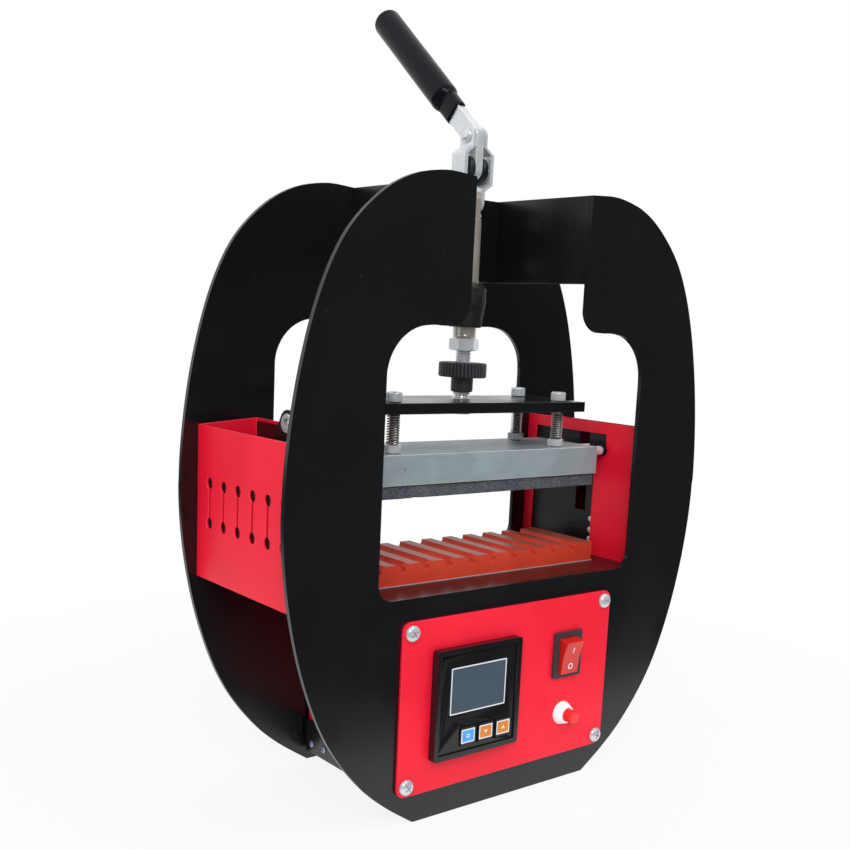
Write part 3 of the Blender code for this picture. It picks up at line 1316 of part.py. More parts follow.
def link_strap(side, name, axis):
    """One bulged strap of the link, bowed out to clear the fork."""
    near = TANG_T / 2 + FIT
    far = near + STRAP_BULGE
    turn_high = -STRAP_EYE_LENGTH - STRAP_RAMP
    turn_low = -LINK_LENGTH + STRAP_EYE_LENGTH + STRAP_RAMP
    inner = [(near, EYE_RADIUS), (near, -STRAP_EYE_LENGTH), (far, turn_high), (far, turn_low),
             (near, -LINK_LENGTH + STRAP_EYE_LENGTH), (near, -LINK_LENGTH - EYE_RADIUS)]
    outer = [(x + STRAP_T, z) for x, z in reversed(inner)]
    strip = facing(slab(inner + outer, 2 * EYE_RADIUS, turn=STANDING), side)
    piece = finish(name, shift(strip, 0, EYE_RADIUS), zinc())
    window = far + STRAP_T + OVERRUN
    ends = shift(slab(stadium(-LINK_LENGTH, 0, EYE_RADIUS), window, turn=SIDEWAYS), 0)
    boolean(piece, finish(name + "_ends", facing(ends, side), zinc()), "INTERSECT")
    eye = finish(name + "_eye", facing(rod(PIN_RADIUS + FIT, 0, window, BORE_STEPS, SIDEWAYS), side), zinc())
    cut(piece, eye)
    rivet = finish(name + "_rivet", facing(link_rivet(), side), zinc())
    rivet.location = (0, 0, -LINK_LENGTH)
    join(piece, rivet)
    return attach(piece, (0, 0, PIN_HIGH_Z), axis)


def link_rivet():
    """A short rivet through a link's lower eye, with its head outside."""
    near = TANG_T / 2 + FIT
    outer = near + STRAP_T
    profile = [(0, near), (PIN_RADIUS + 2 * FIT, near), (PIN_RADIUS + 2 * FIT, outer),
               (PIN_HEAD_RADIUS, outer), (PIN_HEAD_RADIUS, outer + PIN_HEAD_EDGE),
               (PIN_HEAD_RADIUS * PIN_HEAD_FLAT_SHARE, outer + PIN_HEAD_T), (0, outer + PIN_HEAD_T)]
    return turned(profile, ROD_STEPS, turn=SIDEWAYS)


def frame_pieces():
    front_plate()
    rear_plate()
    clamp_bracket()
    bed()
    silicone_pad()
    for side, word in ((-1, "left"), (1, "right")):
        side_box(side, "side_box_" + word)
        heat_guard(side, "heat_guard_" + word)
    lead_bracket()


def base_pieces():
    base_cover()
    base_tray()
    control_panel()
    panel_screws()
    meter_case()
    meter_screen()
    meter_key(0, "key_set", (0.10, 0.40, 0.85))
    meter_key(1, "key_down", (0.75, 0.32, 0.03))
    meter_key(2, "key_up", (0.75, 0.32, 0.03))
    rocker_housing()
    rocker_paddle()
    button_bushing()
    button_cap()
    mains_inlet()
    heater_relay()


def clamp_pieces():
    clamp_body()
    clamp_bolts()
    lever = axis_point("lever_axis", (0, 0, PIVOT_Z))
    cross_pin("fork_pin", TANG_T / 2 + FIT + FORK_EAR_T, False, (0, 0, PIVOT_Z))
    lever_bar(lever)
    lever_grip(lever)
    cross_pin("lever_pin", TANG_T / 2 + FIT + STRAP_T, True, (0, 0, PIN_HIGH_Z), lever)
    links = axis_point("link_axis", (0, 0, PIN_HIGH_Z), lever)
    link_strap(-1, "link_strap_left", links)
    link_strap(1, "link_strap_right", links)


def head_pieces():
    slide = axis_point("plunger_axis", (0, 0, PLUNGER_BOTTOM))
    plunger(slide)
    jam_nut(slide)
    head = axis_point("head_axis", (0, 0, TOP_PLATE_BOTTOM), slide)
    top_plate(head)
    knob = axis_point("knob_axis", (0, 0, HUB_BOTTOM), head)
    spindle(knob)
    pressure_knob(knob)
    block = axis_point("block_axis", (0, 0, BLOCK_TOP), head)
    head_bolts(block)
    head_nuts(block)
    head_springs(block)
    heater_block(block)
    cartridge_heater(block)
    heater_boot(block)
    head_foam(block)
    report_spring_gap()


frame_pieces()
base_pieces()
clamp_pieces()
head_pieces()
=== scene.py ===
"""The look of the pen heat press: finishes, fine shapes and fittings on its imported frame."""
import json
from math import atan2, ceil, cos, hypot, pi, radians, sin, sqrt

import bmesh
import bpy
from mathutils import Matrix, Vector, noise
from mathutils.bvhtree import BVHTree


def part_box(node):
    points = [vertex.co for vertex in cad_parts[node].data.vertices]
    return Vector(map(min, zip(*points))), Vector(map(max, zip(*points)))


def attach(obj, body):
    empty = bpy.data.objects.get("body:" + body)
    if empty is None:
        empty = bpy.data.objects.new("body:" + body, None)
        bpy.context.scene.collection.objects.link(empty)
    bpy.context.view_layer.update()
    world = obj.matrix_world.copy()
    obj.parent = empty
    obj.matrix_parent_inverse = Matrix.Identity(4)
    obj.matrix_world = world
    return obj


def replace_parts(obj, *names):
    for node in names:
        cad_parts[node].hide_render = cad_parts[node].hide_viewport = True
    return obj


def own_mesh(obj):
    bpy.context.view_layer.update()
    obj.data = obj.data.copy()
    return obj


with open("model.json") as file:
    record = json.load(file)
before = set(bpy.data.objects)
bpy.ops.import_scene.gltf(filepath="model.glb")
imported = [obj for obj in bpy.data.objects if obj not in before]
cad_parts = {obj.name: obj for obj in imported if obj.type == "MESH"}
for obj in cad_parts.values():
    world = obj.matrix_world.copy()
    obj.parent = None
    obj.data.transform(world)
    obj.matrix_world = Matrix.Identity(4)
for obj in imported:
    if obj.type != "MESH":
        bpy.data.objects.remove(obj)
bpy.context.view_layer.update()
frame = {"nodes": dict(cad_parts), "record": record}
scene = bpy.context.scene

# Shapes are drawn in millimetres and counted from the plunger's axis.
MM = 0.001
FORWARD = -sum(corner.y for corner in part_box("plunger")) / 2
TO_FRAME = Matrix.Translation((0, -FORWARD, 0)) @ Matrix.Scale(MM, 4)
SHIFT = FORWARD / MM
Z = Vector((0, 0, 1))
FACINGS = {
    "up": Matrix.Identity(4),
    "front": Matrix.Rotation(pi / 2, 4, "X"),
    "back": Matrix.Rotation(-pi / 2, 4, "X"),
    "right": Matrix(((0, 0, 1, 0), (1, 0, 0, 0), (0, 1, 0, 0), (0, 0, 0, 1))),
    "left": Matrix(((0, 0, -1, 0), (-1, 0, 0, 0), (0, 1, 0, 0), (0, 0, 0, 1))),
}


def corners(node):
    """The low and high corners of a node's box, in millimetres of the frame."""
    return [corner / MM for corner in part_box(node)]


def centre_of(node):
    """The middle of a node's box and its size, in millimetres of the frame."""
    low, high = corners(node)
    return (low + high) / 2, high - low


# Node trees

def add(tree, kind, inputs=None, **settings):
    """A shader node with its settings, its constants and its links."""
    made = tree.nodes.new(kind)
    for name, value in settings.items():
        setattr(made, name, value)
    for name, value in (inputs or {}).items():
        if isinstance(value, bpy.types.NodeSocket):
            tree.links.new(value, made.inputs[name])
        else:
            made.inputs[name].default_value = value
    return made


def calc(tree, operation, first, second=0.5, third=0.0):
    return add(tree, "ShaderNodeMath", {0: first, 1: second, 2: third}, operation=operation).outputs[0]


def spread(tree, value, low, high, to_low=0.0, to_high=1.0, ends="SMOOTHSTEP"):
    """Stretches a range of values over another one."""
    return add(tree, "ShaderNodeMapRange", {"Value": value, "From Min": low, "From Max": high,
                                            "To Min": to_low, "To Max": to_high},
               interpolation_type=ends).outputs["Result"]


def mixed(tree, share, first, second):
    """Two colours mixed by a share."""
    made = add(tree, "ShaderNodeMix", data_type="RGBA")
    for index, value in ((0, share), (6, first), (7, second)):
        if isinstance(value, bpy.types.NodeSocket):
            tree.links.new(value, made.inputs[index])
        else:
            made.inputs[index].default_value = (*value, 1) if index else value
    return made.outputs[2]


def effect(name, takes, gives):
    """An empty shader group with its sockets; returns it with its two ends."""
    group = bpy.data.node_groups.new(name, "ShaderNodeTree")
    kinds = {"v": "NodeSocketVector", "f": "NodeSocketFloat"}
    for socket, kind, value in takes:
        made = group.interface.new_socket(name=socket, in_out="INPUT", socket_type=kinds[kind])
        if value is not None:
            made.default_value = value
    for socket in gives:
        group.interface.new_socket(name=socket, in_out="OUTPUT", socket_type=kinds["f"])
    return group, add(group, "NodeGroupInput").outputs, add(group, "NodeGroupOutput").inputs


def cloud(tree, place, scale, detail=2.0):
    return add(tree, "ShaderNodeTexNoise", {"Vector": place, "Scale": scale, "Detail": detail}).outputs["Fac"]


def patches_effect():
    """Soft patches between 0 and 1."""
    group, given, end = effect("patches", [("Place", "v", None), ("Scale", "f", 30.0)], ["Value"])
    soft = spread(group, cloud(group, given["Place"], given["Scale"], 3.0), 0.34, 0.66)
    group.links.new(soft, end["Value"])
    return group


def peel_effect():
    """The fine waves of a sprayed or moulded skin, with a few bright specks."""
    group, given, end = effect("peel", [("Place", "v", None), ("Scale", "f", 500.0), ("Specks", "f", 300.0)],
                               ["Height", "Speck"])
    waves = cloud(group, given["Place"], given["Scale"], 1.5)
    cells = add(group, "ShaderNodeTexVoronoi", {"Vector": given["Place"], "Scale": given["Specks"]})
    chosen = add(group, "ShaderNodeSeparateColor", {"Color": cells.outputs["Color"]}).outputs[0]
    size = spread(group, chosen, 0.80, 1.0, 0.0, 0.10, "LINEAR")
    dots = spread(group, calc(group, "SUBTRACT", size, cells.outputs["Distance"]), 0.0, 0.04)
    group.links.new(waves, end["Height"])
    group.links.new(dots, end["Speck"])
    return group


def drawn_effect():
    """Fine lines drawn out along one axis, and a slow drift between them."""
    group, given, end = effect("drawn", [("Place", "v", None), ("Stretch", "v", (1.0, 1.0, 1.0)),
                                         ("Scale", "f", 900.0)], ["Lines", "Drift"])
    pulled = add(group, "ShaderNodeVectorMath", {0: given["Place"], 1: given["Stretch"]},
                 operation="MULTIPLY")
    lines = cloud(group, pulled.outputs[0], given["Scale"], 4.0)
    drift = cloud(group, given["Place"], 60.0, 3.0)
    group.links.new(spread(group, lines, 0.3, 0.7), end["Lines"])
    group.links.new(spread(group, drift, 0.3, 0.7), end["Drift"])
    return group


def worn_effect():
    """Worn edges: the piece's own edge faces, broken up."""
    group, given, end = effect("worn", [("Place", "v", None), ("Break", "f", 260.0)], ["Mask"])
    edge = add(group, "ShaderNodeAttribute", attribute_name="edge").outputs["Fac"]
    broken = spread(group, cloud(group, given["Place"], given["Break"], 3.0), 0.3, 0.7, 0.45, 1.0)
    group.links.new(calc(group, "MULTIPLY", edge, broken), end["Mask"])
    return group


def pores_effect():
    """Open cells: pits darkened as painted shade, pale flecks and a height."""
    group, given, end = effect("pores", [("Place", "v", None), ("Scale", "f", 700.0)],
                               ["Pit", "Fleck", "Height"])
    cells = add(group, "ShaderNodeTexVoronoi", {"Vector": given["Place"], "Scale": given["Scale"]})
    pit = spread(group, cells.outputs["Distance"], 0.45, 0.12)
    wide = cloud(group, given["Place"], given["Scale"], 2.0)
    group.links.new(pit, end["Pit"])
    group.links.new(spread(group, wide, 0.60, 0.74), end["Fleck"])
    group.links.new(calc(group, "SUBTRACT", wide, pit), end["Height"])
    return group


EFFECTS = {group.name: group for group in (patches_effect(), peel_effect(), drawn_effect(), worn_effect(),
                                           pores_effect())}


def use(tree, name, place, **values):
    return add(tree, "ShaderNodeGroup", {"Place": place, **values}, node_tree=EFFECTS[name]).outputs


def start_finish(name, **constants):
    """A new material, its shader with constant values, and the place on the object."""
    made = bpy.data.materials.new(name)
    made.use_nodes = True
    tree = made.node_tree
    shader = tree.nodes["Principled BSDF"]
    for socket, value in constants.items():
        shader.inputs[socket.replace("_", " ")].default_value = value
    return made, tree, shader, add(tree, "ShaderNodeTexCoord").outputs["Object"]


def bump(tree, shader, height, strength, distance):
    made = add(tree, "ShaderNodeBump", {"Height": height, "Strength": strength, "Distance": distance})
    tree.links.new(made.outputs["Normal"], shader.inputs["Normal"])


def laid(tree, tone, colour, mask, share):
    """A tone with a colour laid over it where a mask says, to a share."""
    return mixed(tree, calc(tree, "MULTIPLY", mask, share), tone, colour)


def finished(made, tree, shader, tone, roughness, height, strength, distance):
    """Links a finish's colour, roughness and height to its shader."""
    tree.links.new(tone, shader.inputs["Base Color"])
    if roughness:
        tree.links.new(roughness, shader.inputs["Roughness"])
    bump(tree, shader, height, strength, distance)
    return made


def near(colour, share):
    return [part * share for part in colour]


def powder_coat(name, colour, worn, low, high, speck, specular=0.5):
    """Sprayed powder: a faint peel, a few specks and slightly worn edges."""
    made, tree, shader, place = start_finish(name, Specular_IOR_Level=specular)
    peel = use(tree, "peel", place, Scale=650.0, Specks=230.0)
    patches = use(tree, "patches", place, Scale=14.0)["Value"]
    wear = use(tree, "worn", place)["Mask"]
    tone = mixed(tree, patches, near(colour, 0.95), near(colour, 1.05))
    tone = mixed(tree, peel["Speck"], tone, speck)
    tone = laid(tree, tone, worn, wear, 0.7)
    return finished(made, tree, shader, tone, spread(tree, patches, 0, 1, low, high),
                    peel["Height"], 0.10, 0.0001)


def bright_metal(name, colour, low, high, stretch, tarnish, metallic=1.0, streak=0.18):
    """Plated or turned metal: drawn lines, a slow drift of tarnish and brighter edges."""
    made, tree, shader, place = start_finish(name, Metallic=metallic)
    drawn = use(tree, "drawn", place, Stretch=stretch, Scale=1100.0)
    wear = use(tree, "worn", place)["Mask"]
    tone = mixed(tree, drawn["Drift"], colour, tarnish)
    tone = laid(tree, tone, near(colour, 0.5), drawn["Lines"], streak)
    tone = mixed(tree, wear, tone, [min(1.0, part * 1.2) for part in colour])
    return finished(made, tree, shader, tone, spread(tree, drawn["Lines"], 0, 1, low, high),
                    drawn["Lines"], 0.12, 0.00003)


def milled_aluminium():
    """Saw-cut and milled plate: fine lines, grey patches and small dents."""
    made, tree, shader, place = start_finish("milled_aluminium", Metallic=0.4)
    drawn = use(tree, "drawn", place, Stretch=(0.05, 1.0, 1.0), Scale=1500.0)
    dents = use(tree, "peel", place, Scale=90.0, Specks=75.0)
    wear = use(tree, "worn", place, Break=150.0)["Mask"]
    tone = mixed(tree, drawn["Drift"], (0.40, 0.48, 0.51), (0.33, 0.40, 0.43))
    tone = laid(tree, tone, (0.50, 0.58, 0.60), drawn["Lines"], 0.22)
    tone = laid(tree, tone, (0.20, 0.22, 0.22), dents["Speck"], 0.6)
    tone = mixed(tree, wear, tone, (0.80, 0.83, 0.84))
    return finished(made, tree, shader, tone, spread(tree, drawn["Lines"], 0, 1, 0.38, 0.55),
                    calc(tree, "SUBTRACT", drawn["Lines"], dents["Speck"]), 0.2, 0.00008)


def silicone():
    """Moulded silicone, its lands dulled and browned by heat and dust."""
    made, tree, shader, place = start_finish("silicone", Specular_IOR_Level=0.4)
    patches = use(tree, "patches", place, Scale=60.0)["Value"]
    grain = use(tree, "peel", place, Scale=1500.0, Specks=500.0)
    land = add(tree, "ShaderNodeAttribute", attribute_name="land").outputs["Fac"]
    wear = use(tree, "worn", place)["Mask"]
    tone = mixed(tree, patches, (0.62, 0.046, 0.018), (0.68, 0.058, 0.024))
    tone = laid(tree, tone, (0.32, 0.085, 0.060), land, 0.85)
    tone = laid(tree, tone, (0.78, 0.12, 0.07), wear, 0.5)
    tone = laid(tree, tone, (0.75, 0.25, 0.18), grain["Speck"], 0.5)
    return finished(made, tree, shader, tone, spread(tree, land, 0, 1, 0.55, 0.42, "LINEAR"),
                    grain["Height"], 0.25, 0.00008)


def foam():
    """Dark open-cell foam, with painted shade in its pits and pale flecks."""
    made, tree, shader, place = start_finish("foam", Specular_IOR_Level=0.2, Roughness=0.9)
    pores = use(tree, "pores", place, Scale=900.0)
    patches = use(tree, "patches", place, Scale=90.0)["Value"]
    tone = mixed(tree, patches, (0.070, 0.078, 0.092), (0.095, 0.104, 0.118))
    # Painted shade: the pits are darkened as the shade inside the open cells.
    tone = laid(tree, tone, (0.014, 0.015, 0.018), pores["Pit"], 0.8)
    tone = laid(tree, tone, (0.24, 0.26, 0.29), pores["Fleck"], 0.7)
    return finished(made, tree, shader, tone, None,
                    pores["Height"], 0.8, 0.0005)


def casting():
    """Sand-cast iron under black paint."""
    made, tree, shader, place = start_finish("casting")
    grain = use(tree, "pores", place, Scale=800.0)
    patches = use(tree, "patches", place, Scale=120.0)["Value"]
    tone = mixed(tree, patches, (0.007, 0.008, 0.009), (0.014, 0.015, 0.016))
    return finished(made, tree, shader, tone, spread(tree, patches, 0, 1, 0.36, 0.52),
                    grain["Height"], 0.5, 0.0003)


def moulded(name, colour, roughness, grain_size=900.0, depth=0.00005, rim=None, **constants):
    """Moulded plastic or rubber with a fine grain and slightly lighter rims."""
    made, tree, shader, place = start_finish(name, **constants)
    grain = use(tree, "peel", place, Scale=grain_size, Specks=350.0)
    patches = use(tree, "patches", place, Scale=40.0)["Value"]
    wear = use(tree, "worn", place)["Mask"]
    light = rim or [part * 1.25 + 0.006 for part in colour]
    tone = mixed(tree, patches, near(colour, 0.97), near(colour, 1.03))
    tone = laid(tree, tone, light, wear, 0.6)
    tone = laid(tree, tone, light, grain["Speck"], 0.25)
    return finished(made, tree, shader, tone, spread(tree, patches, 0, 1, roughness - 0.03, roughness + 0.03),
                    grain["Height"], 0.25, depth)


EVEN = (1.0, 1.0, 1.0)
FINISHES = {
    "black_powder_coat": powder_coat("black_powder_coat", (0.0048, 0.0058, 0.0068), (0.020, 0.018, 0.016),
                                     0.22, 0.30, (0.055, 0.065, 0.070)),
    "red_paint": powder_coat("red_powder_coat", (0.90, 0.010, 0.036), (0.98, 0.075, 0.12), 0.30, 0.38,
                             (0.95, 0.10, 0.12), 0.32),
    "red_silicone": silicone(),
    "zinc_plate": bright_metal("zinc_plate", (0.76, 0.80, 0.84), 0.16, 0.24, EVEN,
                               (0.66, 0.69, 0.71), 0.45, 0.06),
    "bright_steel": bright_metal("turned_steel", (0.66, 0.62, 0.55), 0.20, 0.32, (1.0, 1.0, 0.03),
                                 (0.52, 0.47, 0.40), 0.6),
    "spring_steel": bright_metal("spring_wire", (0.66, 0.66, 0.64), 0.20, 0.30, EVEN, (0.50, 0.49, 0.47),
                                 0.95),
    "black_casting": casting(),
    "milled_aluminium": milled_aluminium(),
    "grey_foam": foam(),
    "black_vinyl": moulded("vinyl", (0.0048, 0.0058, 0.0085), 0.26, 220.0, 0.0002, Specular_IOR_Level=0.14),
    "charcoal_plastic": moulded("charcoal_plastic", (0.042, 0.041, 0.048), 0.40),
    "black_plastic": moulded("black_plastic", (0.007, 0.0075, 0.009), 0.20),
    "screen_grey": moulded("screen", (0.062, 0.094, 0.124), 0.14, Coat_Weight=0.5, Coat_Roughness=0.05),
    "key_blue": moulded("key_blue", (0.070, 0.37, 0.88), 0.30),
    "key_orange": moulded("key_orange", (0.70, 0.235, 0.022), 0.30),
    "rocker_red": moulded("rocker_red", (0.66, 0.014, 0.010), 0.16, rim=(0.80, 0.05, 0.04), Coat_Weight=0.2,
                          Coat_Roughness=0.08),
    # The white button's faint emission is a painted glow: the button is no lamp.
    "button_white": moulded("button_white", (0.95, 0.95, 0.95), 0.26, Emission_Color=(1, 1, 1, 1),
                            Emission_Strength=0.12),
    "button_red": moulded("button_red", (0.90, 0.035, 0.035), 0.20),
    "relay_cream": moulded("relay_cream", (0.72, 0.69, 0.60), 0.40),
}
WHITE_INK = moulded("white_ink", (0.80, 0.82, 0.86), 0.40)
# Near-black steel for the bolt shanks: painted shade that darkens them the way the shadow between the spring
# coils would.
PAINTED_SHADE_STEEL = bright_metal("steel_painted_shade", (0.10, 0.10, 0.10), 0.3, 0.4, EVEN, (0.07, 0.07, 0.07), 0.6)
LINER = moulded("liner_film", (0.42, 0.44, 0.50), 0.35)
BLUED_STEEL = bright_metal("blued_steel", (0.36, 0.45, 0.62), 0.25, 0.35, EVEN, (0.28, 0.34, 0.48), 0.8)


# Shapes

SLOTS = {part["node"]: part["material_slot"] for part in frame["record"]["subparts"]}
BODY_OF = {}
for body, nodes in frame["record"]["behaviour"]["bodies"].items():
    for node in nodes:
        BODY_OF[node] = body


def aim(bm, facing="up", place=(0, 0, 0)):
    """Turns a shape drawn along Z to look another way, and puts it in its place."""
    bm.transform(Matrix.Translation(place) @ FACINGS[facing])
    return bm


def smooth(bm):
    for face in bm.faces:
        face.smooth = True
    return bm


def closed(bm):
    """Merges the seam of a spun shape and shades it smooth."""
    smooth(bm)
    bmesh.ops.remove_doubles(bm, verts=bm.verts, dist=0.002)
    bmesh.ops.recalc_face_normals(bm, faces=bm.faces)
    return bm


def lathe(profile, steps=48, facing="up", place=(0, 0, 0)):
    """A turned shape from its half outline of (radius, height) points."""
    bm = bmesh.new()
    verts = [bm.verts.new((radius, 0, height)) for radius, height in profile]
    edges = [bm.edges.new(pair) for pair in zip(verts, verts[1:])]
    bmesh.ops.spin(bm, geom=verts + edges, axis=Z, angle=2 * pi, steps=steps, use_merge=True)
    return aim(closed(bm), facing, place)


def prism(outline, depth, facing="up", place=(0, 0, 0), holes=()):
    """A flat sheet cut to an outline, with its holes."""
    bm = bmesh.new()
    edges = []
    for ring in (outline, *holes):
        verts = [bm.verts.new((x, y, 0)) for x, y in ring]
        edges += [bm.edges.new(pair) for pair in zip(verts, verts[1:] + verts[:1])]
    bmesh.ops.triangle_fill(bm, use_beauty=True, edges=edges)
    made = bmesh.ops.extrude_face_region(bm, geom=bm.faces[:])["geom"]
    top = [item for item in made if isinstance(item, bmesh.types.BMVert)]
    bmesh.ops.translate(bm, verts=top, vec=(0, 0, depth))
    bmesh.ops.recalc_face_normals(bm, faces=bm.faces)
    return aim(bm, facing, place)


def arc(radius, start, end, steps, centre=(0, 0)):
    angles = [start + (end - start) * step / steps for step in range(steps + 1)]
    return [(centre[0] + radius * cos(angle), centre[1] + radius * sin(angle)) for angle in angles]


def ring_points(radius, steps=32, centre=(0, 0)):
    return arc(radius, 0, 2 * pi, steps, centre)[:-1]


def rounded(width, height, radius, centre=(0, 0), steps=5):
    """The outline of a rectangle with round corners."""
    points = []
    for turn, (side, rise) in enumerate(((1, 1), (-1, 1), (-1, -1), (1, -1))):
        middle = (centre[0] + side * (width / 2 - radius), centre[1] + rise * (height / 2 - radius))
        points += arc(radius, turn * pi / 2, (turn + 1) * pi / 2, steps, middle)
    return points


def hexagon(flats):
    return [(flats / sqrt(3) * cos(pi / 6 + side * pi / 3), flats / sqrt(3) * sin(pi / 6 + side * pi / 3))
            for side in range(6)]


def joined(bm, *others):
    """Puts shapes together in one piece."""
    for other in others:
        mesh = bpy.data.meshes.new("joined")
        other.to_mesh(mesh)
        other.free()
        bm.from_mesh(mesh)
        bpy.data.meshes.remove(mesh)
    return bm


def worked(bm, kind, tool=None, **settings):
    """A shape after one modifier."""
    made = []
    for source in (bm, tool):
        if source:
            mesh = bpy.data.meshes.new("worked")
            source.to_mesh(mesh)
            source.free()
            made.append(bpy.data.objects.new("worked", mesh))
            scene.collection.objects.link(made[-1])
    step = made[0].modifiers.new("work", kind)
    for name, value in settings.items():
        setattr(step, name, value)
    if tool:
        step.object = made[1]
    result = bmesh.new()
    result.from_object(made[0], bpy.context.evaluated_depsgraph_get())
    for obj in made:
        mesh = obj.data
        bpy.data.objects.remove(obj)
        bpy.data.meshes.remove(mesh)
    return result


def carve(bm, tool, operation="DIFFERENCE"):
    return worked(bm, "BOOLEAN", tool, operation=operation, solver="EXACT")


# Turns in degrees: what counts as one flat face, as a corner to round, and as a crease in the shading.
FLAT_TURN, CORNER, CREASE = radians(1.5), 28, 32


def cut_off(bm, height, above):
    """Cuts away all that lies above or below a height."""
    bmesh.ops.bisect_plane(bm, geom=bm.verts[:] + bm.edges[:] + bm.faces[:], plane_co=(0, 0, height),
                           plane_no=Z, clear_outer=above, clear_inner=not above)


def fill_open(bm):
    bmesh.ops.holes_fill(bm, edges=[edge for edge in bm.edges if edge.is_boundary])


def face_mark(bm, name, faces):
    """Writes 1 on some faces, for the finish to read."""
    layer = bm.faces.layers.float.get(name) or bm.faces.layers.float.new(name)
    for face in faces:
        face[layer] = 1.0


def soften(bm, width, segments=2, sharp=CORNER):
    """Rounds the sharp edges, marks them for wear and keeps the flat faces flat."""
    face_mark(bm, "edge", [])
    edges = [edge for edge in bm.edges if len(edge.link_faces) == 2
             and edge.calc_face_angle(0) > radians(sharp)]
    made = bmesh.ops.bevel(bm, geom=edges, offset=width, offset_type="OFFSET", segments=segments,
                           profile=0.5, affect="EDGES", clamp_overlap=True, material=-1)
    face_mark(bm, "edge", made["faces"])
    rounds = set(made["faces"])
    for face in bm.faces:
        face.smooth = face in rounds or any(
            FLAT_TURN < edge.calc_face_angle(0) < radians(sharp) for edge in face.edges
            if len(edge.link_faces) == 2 and not rounds & set(edge.link_faces))
    return bm


def from_node(node):
    """A merged copy of a CAD node's mesh, its flat faces made whole again."""
    bm = bmesh.new()
    bm.from_mesh(frame["nodes"][node].data)
    bm.transform(TO_FRAME.inverted())
    bmesh.ops.remove_doubles(bm, verts=bm.verts, dist=0.01)
    bmesh.ops.dissolve_limit(bm, angle_limit=FLAT_TURN, verts=bm.verts, edges=bm.edges,
                             use_dissolve_boundaries=False)
    return smooth(bm)


def put(name, bm, body, slot, finish=None, angle=CREASE):
    """A finished piece, riding on its body."""
    bm.transform(TO_FRAME)
    mesh = bpy.data.meshes.new(name)
    bm.to_mesh(mesh)
    bm.free()
    mesh.set_sharp_from_angle(angle=radians(angle))
    mesh.materials.append(finish or FINISHES[slot])
    piece = bpy.data.objects.new(name, mesh)
    scene.collection.objects.link(piece)
    shading = piece.modifiers.new("flat_faces", "WEIGHTED_NORMAL")
    shading.keep_sharp, shading.weight = True, 100
    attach(piece, body)
    return piece


def stand_in(node, bm, finish=None, angle=CREASE):
    """A piece that stands for its CAD node."""
    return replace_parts(put(node + "_shape", bm, BODY_OF[node], SLOTS[node], finish, angle), node)


def dress(node, width=0.3, segments=2, sharp=CORNER, finish=None):
    """A softened copy of a CAD node."""
    return stand_in(node, soften(from_node(node), width, segments, sharp), finish)


# Side plates and sheet metal

CURVE_STEP = 4.0
CORNER_TURN = radians(22)


def rim_loops(bm):
    """The outlines of the faces that look to the front, each as (x, z) points in order."""
    flat = {face for face in bm.faces if face.normal.y < -0.99}
    rim = {edge for face in flat for edge in face.edges if sum(side in flat for side in edge.link_faces) == 1}
    loops = []
    bm.edges.index_update()
    while rim:
        edge = min(rim, key=lambda side: side.index)
        rim.discard(edge)
        start, here = edge.verts
        loop = [start, here]
        while here is not start:
            edge = next(other for other in here.link_edges if other in rim)
            rim.discard(edge)
            here = edge.other_vert(here)
            loop.append(here)
        loops.append([Vector((vert.co.x, vert.co.z)) for vert in loop[:-1]])
    return sorted(loops, key=lambda points: -max(point.x for point in points))


def refined(points):
    """The same outline with its curved runs drawn finer and its corners kept."""
    count = len(points)
    chords = [points[(index + 1) % count] - points[index] for index in range(count)]
    tangents = []
    for index in range(count):
        before, after = chords[index - 1], chords[index]
        if abs(before.angle_signed(after)) > CORNER_TURN:
            tangents.append((before.normalized(), after.normalized()))
            continue
        if before.length > 2.5 * after.length:
            way = before.normalized()
        elif after.length > 2.5 * before.length:
            way = after.normalized()
        else:
            way = (before.normalized() * after.length + after.normalized() * before.length).normalized()
        tangents.append((way, way))
    finer = []
    for index, chord in enumerate(chords):
        leave, arrive = tangents[index][1], tangents[(index + 1) % count][0]
        bent = max(abs(chord.angle_signed(leave)), abs(chord.angle_signed(arrive))) > radians(0.5)
        steps = ceil(chord.length / CURVE_STEP) if bent else 1
        for step in range(steps):
            t = step / steps
            finer.append(points[index] * (2 * t ** 3 - 3 * t ** 2 + 1)
                         + leave * chord.length * (t ** 3 - 2 * t ** 2 + t)
                         + points[(index + 1) % count] * (3 * t ** 2 - 2 * t ** 3)
                         + arrive * chord.length * (t ** 3 - t ** 2))
    return finer


def side_plate(node):
    """A side plate cut again from its own outline, with fine curves."""
    bm = from_node(node)
    back = max(vert.co.y for vert in bm.verts)
    front = min(vert.co.y for vert in bm.verts)
    outline, *holes = [[tuple(point) for point in refined(loop)] for loop in rim_loops(bm)]
    bm.free()
    shape = prism(outline, back - front, "front", (0, back, 0), holes)
    stand_in(node, soften(smooth(shape), 0.3, 2, 40))


side_plate("front_plate")
side_plate("rear_plate")
for node in ("clamp_bracket", "bed", "heat_guard_left", "heat_guard_right", "lead_bracket", "base_tray",
             "base_cover", "control_panel"):
    dress(node, 0.25)

BED_TOP, BOX_SINK = corners("bed")[1].z, 1.5
LINING_REACH, LINING_LOW, LINING_HIGH, LINING_THICK = 52, 6, 10, 0.5
for node, wall_x in (("side_box_left", -157.6), ("side_box_right", 157.1)):
    box = from_node(node)
    under = min(vert.co.z for vert in box.verts)
    for vert in box.verts:
        if vert.co.z < under + 0.1:
            vert.co.z = BED_TOP - BOX_SINK
    stand_in(node, soften(box, 0.25))
    low, high = corners(node)
    outline = [(-LINING_REACH, low.z + LINING_LOW), (LINING_REACH, low.z + LINING_LOW),
               (LINING_REACH, high.z - LINING_HIGH), (-LINING_REACH, high.z - LINING_HIGH)]
    lining = prism(outline, LINING_THICK, "right", (wall_x, 0, 0))
    put(node + "_lining", soften(lining, 0.1, 1), "frame", "black_powder_coat")

